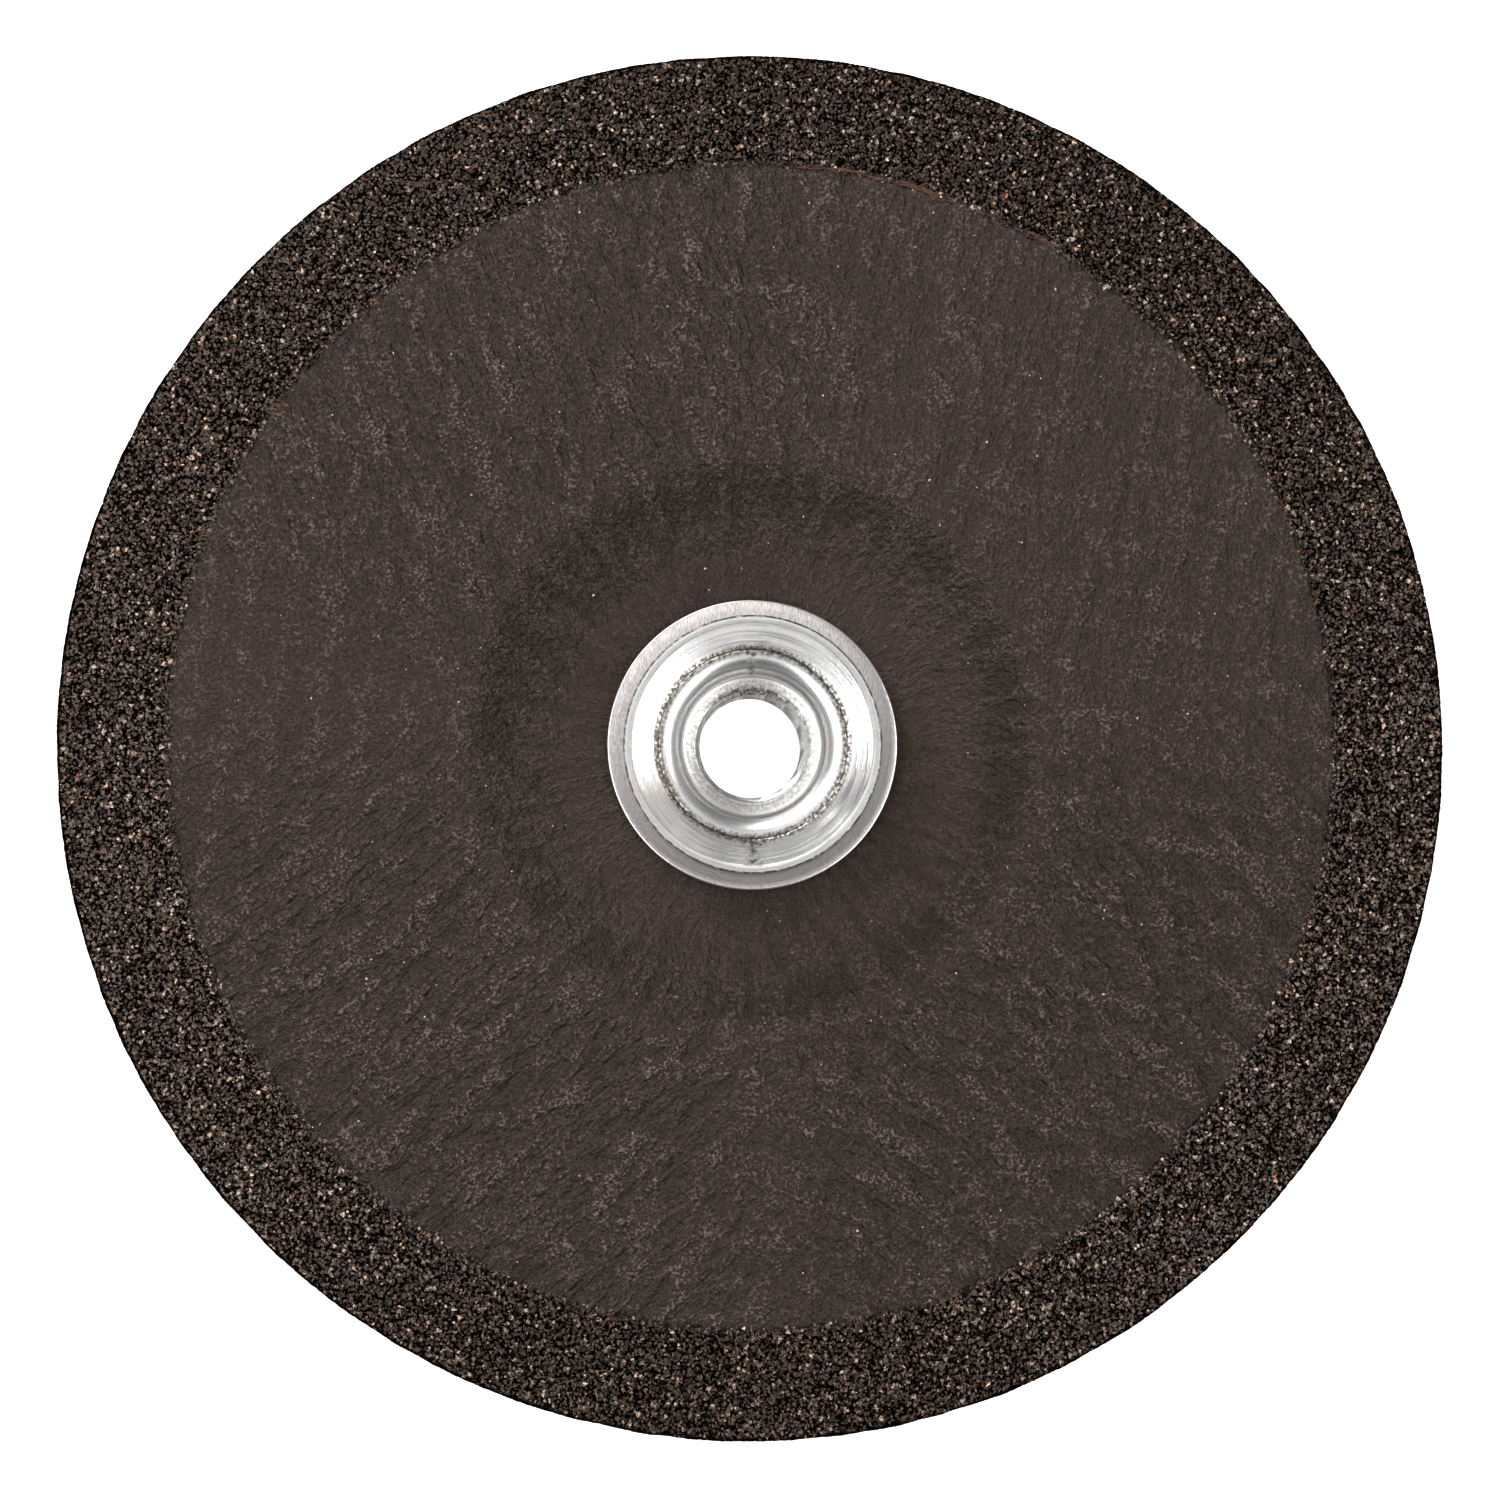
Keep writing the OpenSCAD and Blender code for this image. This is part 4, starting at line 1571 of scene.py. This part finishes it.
        # Painted dark streaks: painted reflections across the flare and the lip's face, and painted shade at the top of
        # the bore's wall.
        for middle_deg, low_r, high_r, width_deg in self.painted_dark_streaks:
            off = np.degrees((angle - math.radians(middle_deg) + math.pi) % TURN - math.pi)
            reach = smooth_ramp(low_r - 0.4, low_r, r) * smooth_ramp(high_r + 0.4, high_r, r)
            dirt_and_painted_dark += 1.2 * np.exp(-((off / width_deg) ** 2)) * reach * (z > 12.5) * np.clip(0.6 + spots, 0, 1)
        return np.clip(dirt_and_painted_dark, 0, 1)

    def build(self, material: bpy.types.Material) -> Piece:
        """The whole hub as one closed skin, with dirt along the score, a painted shadow line at the lip's edge, painted
        dark streaks, darker in the thread and on the counterbore's floor, and duller in the flare.
        """
        turned = TurnedPiece("spindle_hub_turned", "spindle_hub", Slot.HUB)
        angle = TURN * np.arange(turned.columns) / turned.columns
        stations = [*self.outside(angle), *self.inside(angle)]
        r = np.stack([np.broadcast_to(s[0], angle.shape) for s in stations])
        z = np.stack([np.broadcast_to(s[1], angle.shape) for s in stations])
        flare_end = self.barrel_r - self.skirt_t + self.flare_r
        matt = smooth_ramp(flare_end + 0.2, flare_end - 0.6, r)
        matt = matt + smooth_ramp(self.lip_r - self.roll_w - 0.3, self.lip_r - self.roll_w, r)
        return turned.skin(stations, {"dirt_and_painted_dark": self.dirt_and_painted_dark_map(angle[None], r, z), "matt": matt}, material)


@dataclass
class LooseBits:
    """Strand ends at the edge of the paper, and crumbs of grain that stick to it.

    Attributes:
        paper: The paper that they lie on.
        weave_deg: Angle of the strands.
        tufts_deg: Where along the edge the strand ends show, in degrees.
        streaks_deg: First and last angle of strands that lie along the edge, and their fibres.
        fibres: Strand fibres in each tuft.
        crumbs: Number of crumbs.
    """

    paper: LiningPaper
    weave_deg: float
    tufts_deg: tuple = (24, 159, 145, 232, 280, 290)
    streaks_deg: tuple = ((86.0, 79.5, 16), (79.5, 72.0, 34), (62.3, 60.3, 8), (67.5, 66.5, 3))
    fibres: int = 7
    crumbs: int = 420

    def tubes(self, paths: np.ndarray, radius: float, sides: int) -> tuple[np.ndarray, np.ndarray]:
        """Closed tubes along many paths at once.

        Round each point lies a ring of sides points, in the plane across the path there, and the
        first and last rings shrink to a tip.

        Args:
            paths: Array of path by point by axis.
            radius: Radius of the tubes.
            sides: Sides of each tube.

        Returns:
            The points and the index array of the quads.
        """
        count, length, _ = paths.shape
        along = np.gradient(paths, axis=1)
        along /= np.linalg.norm(along, axis=2, keepdims=True)
        side = np.cross(along, np.array([0.0, 0.0, 1.0]))
        side /= np.linalg.norm(side, axis=2, keepdims=True)
        up = np.cross(side, along)
        angle = TURN * np.arange(sides) / sides
        thick = radius * np.clip(np.minimum(np.arange(length), length - 1 - np.arange(length)) + 0.05, 0.05, 1.0)
        ring = np.cos(angle)[:, None] * side[:, :, None, :] + np.sin(angle)[:, None] * up[:, :, None, :]
        points = paths[:, :, None, :] + ring * thick[None, :, None, None]
        base = (np.arange(count) * length * sides)[:, None, None]
        i = np.arange(length - 1)[None, :, None]
        k = np.arange(sides)[None, None, :]
        k1 = (k + 1) % sides
        quads = np.stack([base + i * sides + k, base + i * sides + k1, base + (i + 1) * sides + k1, base + (i + 1) * sides + k], -1)
        return points.reshape(-1, 3), quads.reshape(-1, 4)

    def strand_ends(self, material: bpy.types.Material) -> Piece:
        """Fibres that lie out from under the edge: short tufts across it and streaks along it."""
        rng = np.random.default_rng(77)
        t = np.linspace(0, 1, 6)
        where = np.repeat(np.radians(np.array(self.tufts_deg, dtype=float)), self.fibres)
        where = where + rng.normal(0, 0.009, len(where))
        turn = math.radians(self.weave_deg)
        quarter = np.round((where - turn) / (TURN / 4)) * (TURN / 4) + turn + rng.normal(0, 0.22, len(where))
        start_r = self.paper.edge(where) - 0.5
        length = rng.uniform(0.9, 2.6, len(where))
        curl = rng.normal(0, 0.35, len(where))
        direction = quarter[:, None] + curl[:, None] * t[None]
        reach = length[:, None] * t[None]
        x = start_r[:, None] * np.cos(where)[:, None] + reach * np.cos(direction)
        y = start_r[:, None] * np.sin(where)[:, None] + reach * np.sin(direction)
        for first, last, count in self.streaks_deg:
            begin = np.radians(rng.uniform(last, first, count))
            spot = begin[:, None] - rng.uniform(1.0, 3.5, count)[:, None] * t[None] / self.paper.edge_r
            out = rng.uniform(-0.15, 0.3, count)[:, None] + rng.normal(0, 0.12, count)[:, None] * t[None]
            r = self.paper.edge(spot) + out
            x = np.concatenate([x, r * np.cos(spot)])
            y = np.concatenate([y, r * np.sin(spot)])
        top = self.paper.dish.work_z - 0.075
        z = top - 0.05 + 0.12 * np.sin(math.pi * t)[None] * rng.uniform(0.0, 1.0, len(x))[:, None]
        points, quads = self.tubes(np.stack([x, y, np.minimum(z, top)], -1), 0.07, 5)
        return Piece("strand_ends", points, [quads], material, Slot.CLOTH)

    def crumbs_on_paper(self, material: bpy.types.Material) -> Piece:
        """Crumbs of grain, scattered evenly over the paper and sunk half into it."""
        rng = np.random.default_rng(5)
        r = np.sqrt(rng.uniform(21.0**2, self.paper.edge_r**2, self.crumbs))
        angle = rng.uniform(0, TURN, self.crumbs)
        line = np.array(self.paper.dish.line(self.paper.hole_r, self.paper.edge_r, self.paper.sink))
        z = np.interp(r, line[:, 0], line[:, 1]) + 0.02
        cloud = GrainCloud(middle_r=0.12, spread=0.5)
        centres = np.stack([r * np.cos(angle), r * np.sin(angle), z], -1)
        points, faces = cloud.grow(centres, np.ones(self.crumbs), rng)
        points[..., 2] = np.minimum(points[..., 2], self.paper.dish.work_z)
        tone = np.repeat(rng.uniform(0.85, 0.97, self.crumbs), points.shape[1])
        return Piece("crumbs", points.reshape(-1, 3), [faces], material, Slot.ABRASIVE, values={"tone": tone}, sharp_deg=24.0)


@dataclass(frozen=True)
class Studio:
    """Floor, light and camera.

    Attributes:
        camera_mm: Place of the camera.
        target_mm: Point that it looks at.
        lens_mm: Focal length on a 36 mm wide sensor.
    """

    camera_mm: tuple = (-13.9, -20.5, 520.0)
    target_mm: tuple = (-0.35, -0.72, 20.0)
    lens_mm: float = 92.5

    def floor(self) -> None:
        """A pale floor that the camera and the metal see as white, apart from the disc's shadow."""
        material, tree, shader = new_material("pale_floor")
        shader.inputs["Base Color"].default_value = (0.92, 0.92, 0.92, 1.0)
        shader.inputs["Roughness"].default_value = 0.9
        path = tree.add("ShaderNodeLightPath")
        seen = tree.math("MAXIMUM", path.outputs["Is Camera Ray"], path.outputs["Is Glossy Ray"])
        seen = tree.math("MAXIMUM", seen, path.outputs["Is Transmission Ray"])
        glow = tree.add("ShaderNodeEmission", {"Color": (1.0, 1.0, 1.0, 1.0), "Strength": 0.85})
        both = tree.add("ShaderNodeAddShader", {0: shader.outputs[0], 1: glow.outputs[0]})
        chosen = tree.add("ShaderNodeMixShader", {0: seen, 1: shader.outputs[0], 2: both.outputs[0]})
        output = material.node_tree.nodes["Material Output"]
        tree.feed(output.inputs["Surface"], chosen.outputs[0])
        half = 4.0
        mesh = bpy.data.meshes.new("floor")
        mesh.from_pydata([(-half, -half, 0), (half, -half, 0), (half, half, 0), (-half, half, 0)], [], [(0, 1, 2, 3)])
        mesh.materials.append(material)
        floor = bpy.data.objects.new("floor", mesh)
        bpy.context.scene.collection.objects.link(floor)

    @staticmethod
    def softbox(name: str, place: tuple, size: tuple, power: float) -> None:
        """An area light that faces the disc.

        Args:
            name: Name of the light.
            place: Its place, in metres.
            size: Its width and height, in metres.
            power: Its power, in watts.
        """
        light = bpy.data.lights.new(name, "AREA")
        light.shape = "RECTANGLE"
        light.size, light.size_y = size
        light.energy = power
        lamp = bpy.data.objects.new(name, light)
        lamp.location = place
        lamp.rotation_euler = (Vector((0.0, 0.0, 0.02)) - Vector(place)).to_track_quat("-Z", "Y").to_euler()
        bpy.context.scene.collection.objects.link(lamp)

    def light(self) -> None:
        """Two softboxes above the sides, a key from the upper left, three dim panels and a sky.

        The sky's strength eases from a ring round the horizon to a dimmer cap that leans towards
        -Y, by the ray's height less 0.45 of its Y, and is weaker beyond the key.
        """
        world = bpy.data.worlds.new("studio")
        world.use_nodes = True
        tree = NodeTree(world.node_tree)
        sky = world.node_tree.nodes["Background"]
        sky.inputs["Color"].default_value = (1.0, 1.0, 1.0, 1.0)
        parts = tree.add("ShaderNodeSeparateXYZ", {0: tree.add("ShaderNodeTexCoord").outputs["Generated"]})
        lean = tree.math("SUBTRACT", parts.outputs[2], tree.math("MULTIPLY", parts.outputs[1], 0.45))
        far_side = tree.ramp(parts.outputs[1], 0.35, 0.85, 1.0, 0.62)
        tree.feed(sky.inputs["Strength"], tree.math("MULTIPLY", tree.ramp(lean, 0.80, 0.97, 0.28, 0.07), far_side))
        bpy.context.scene.world = world
        self.softbox("left", (-0.31, -0.08, 0.53), (0.46, 0.28), 1.75)
        self.softbox("right", (0.315, -0.095, 0.53), (0.46, 0.28), 1.62)
        self.softbox("key", (-0.19, 0.33, 0.25), (0.40, 0.36), 1.5)
        self.softbox("overhead", (-0.05, 0.18, 0.885), (0.31, 0.27), 0.35)
        self.softbox("corner", (0.30, 0.30, 0.75), (0.3, 0.3), 0.08)
        self.softbox("front", (0.0, -0.155, 0.50), (0.34, 0.12), 0.09)

    def camera(self) -> None:
        """The camera, with the image's upper edge towards +Y."""
        data = bpy.data.cameras.new("camera")
        data.lens = self.lens_mm
        data.sensor_width = 36.0
        place, target = Vector(self.camera_mm) * MM, Vector(self.target_mm) * MM
        back = (place - target).normalized()
        right = Vector((0.0, 1.0, 0.0)).cross(back).normalized()
        up = back.cross(right)
        camera = bpy.data.objects.new("camera", data)
        camera.matrix_world = Matrix.Translation(place) @ Matrix((right, up, back)).transposed().to_4x4()
        bpy.context.scene.collection.objects.link(camera)
        bpy.context.scene.camera = camera

    def build(self) -> None:
        """Floor, light, camera and the plain view transform."""
        self.floor()
        self.light()
        self.camera()
        bpy.context.scene.view_settings.view_transform = "Standard"


def corners_mm(node: str) -> tuple[np.ndarray, np.ndarray]:
    """Lowest and highest corner of a CAD node, in millimetres."""
    low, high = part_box(node)
    return np.array(low) / MM, np.array(high) / MM


def main() -> None:
    body_low, body_high = corners_mm("abrasive_body")
    liner_low, liner_high = corners_mm("face_liner")
    cloth_low, cloth_high = corners_mm("face_cloth")
    washer_low, washer_high = corners_mm("retaining_washer")
    hub_low, hub_high = corners_mm("spindle_hub")
    spindle = next(m for m in frame["record"]["mounts"] if m["name"] == "spindle_thread")

    dish = Dish(25.3, 37.0, 5.0, washer_low[2], body_high[2], body_low[2])
    weave = Weave()
    arbor_r = 11.1
    effects = Effects()
    loose = GrainFinish().make(effects, True)
    packed = GrainFinish().make(effects, False)
    paper_finish = PaperFinish().make(effects)
    cloth_finish = StrandFinish("resin_soaked_cloth", (0.03, 0.017, 0.011, 1.0), (0.010, 0.007, 0.005, 1.0)).make(effects)
    ends_finish = StrandFinish("strand_ends", (0.15, 0.062, 0.030, 1.0), (0.03, 0.015, 0.01, 1.0)).make(effects)
    washer_finish = BrushedSteel().make(effects)
    hub_finish = TurnedMetal(
        "spun_aluminium", (0.95, 0.95, 0.945, 1.0), (0.42, 0.41, 0.40, 1.0), 0.09, 0.23, 900.0, 0.00002, 0.2
    ).make(effects)

    wheel = AbrasiveWheel(dish, weave, body_high[0], arbor_r, liner_high[0] - 0.3, cloth_high[0] + 0.3)
    paper = LiningPaper(dish, weave, arbor_r, liner_high[0])
    washer = RetainingWasher(arbor_r, washer_high[0], washer_low[2], washer_high[2])
    hub = SpindleHub(
        back_z=body_low[2], washer_z=washer_high[2], top_z=hub_high[2], barrel_r=arbor_r - 0.1,
        lip_r=16.8, flange_r=hub_high[0], thread_r=spindle["dims"]["r_mm"],
    )
    bits = LooseBits(paper, weave.turn_deg)
    pieces = [
        wheel.core(packed),
        *wheel.grains(Face.BAND, loose, 3, 101),
        *wheel.grains(Face.RIM, loose, 1, 202),
        paper.build(paper_finish),
        washer.build(washer_finish),
        hub.build(hub_finish),
        bits.strand_ends(ends_finish),
        bits.crumbs_on_paper(loose),
    ]
    for piece in pieces:
        piece.build()
    cloth = frame["nodes"]["face_cloth"]
    cloth.data.materials.clear()
    cloth.data.materials.append(cloth_finish)

    Studio().build()


if __name__ == "__main__":
    logging.basicConfig(level=logging.INFO, format="%(name)s: %(message)s")
    main()
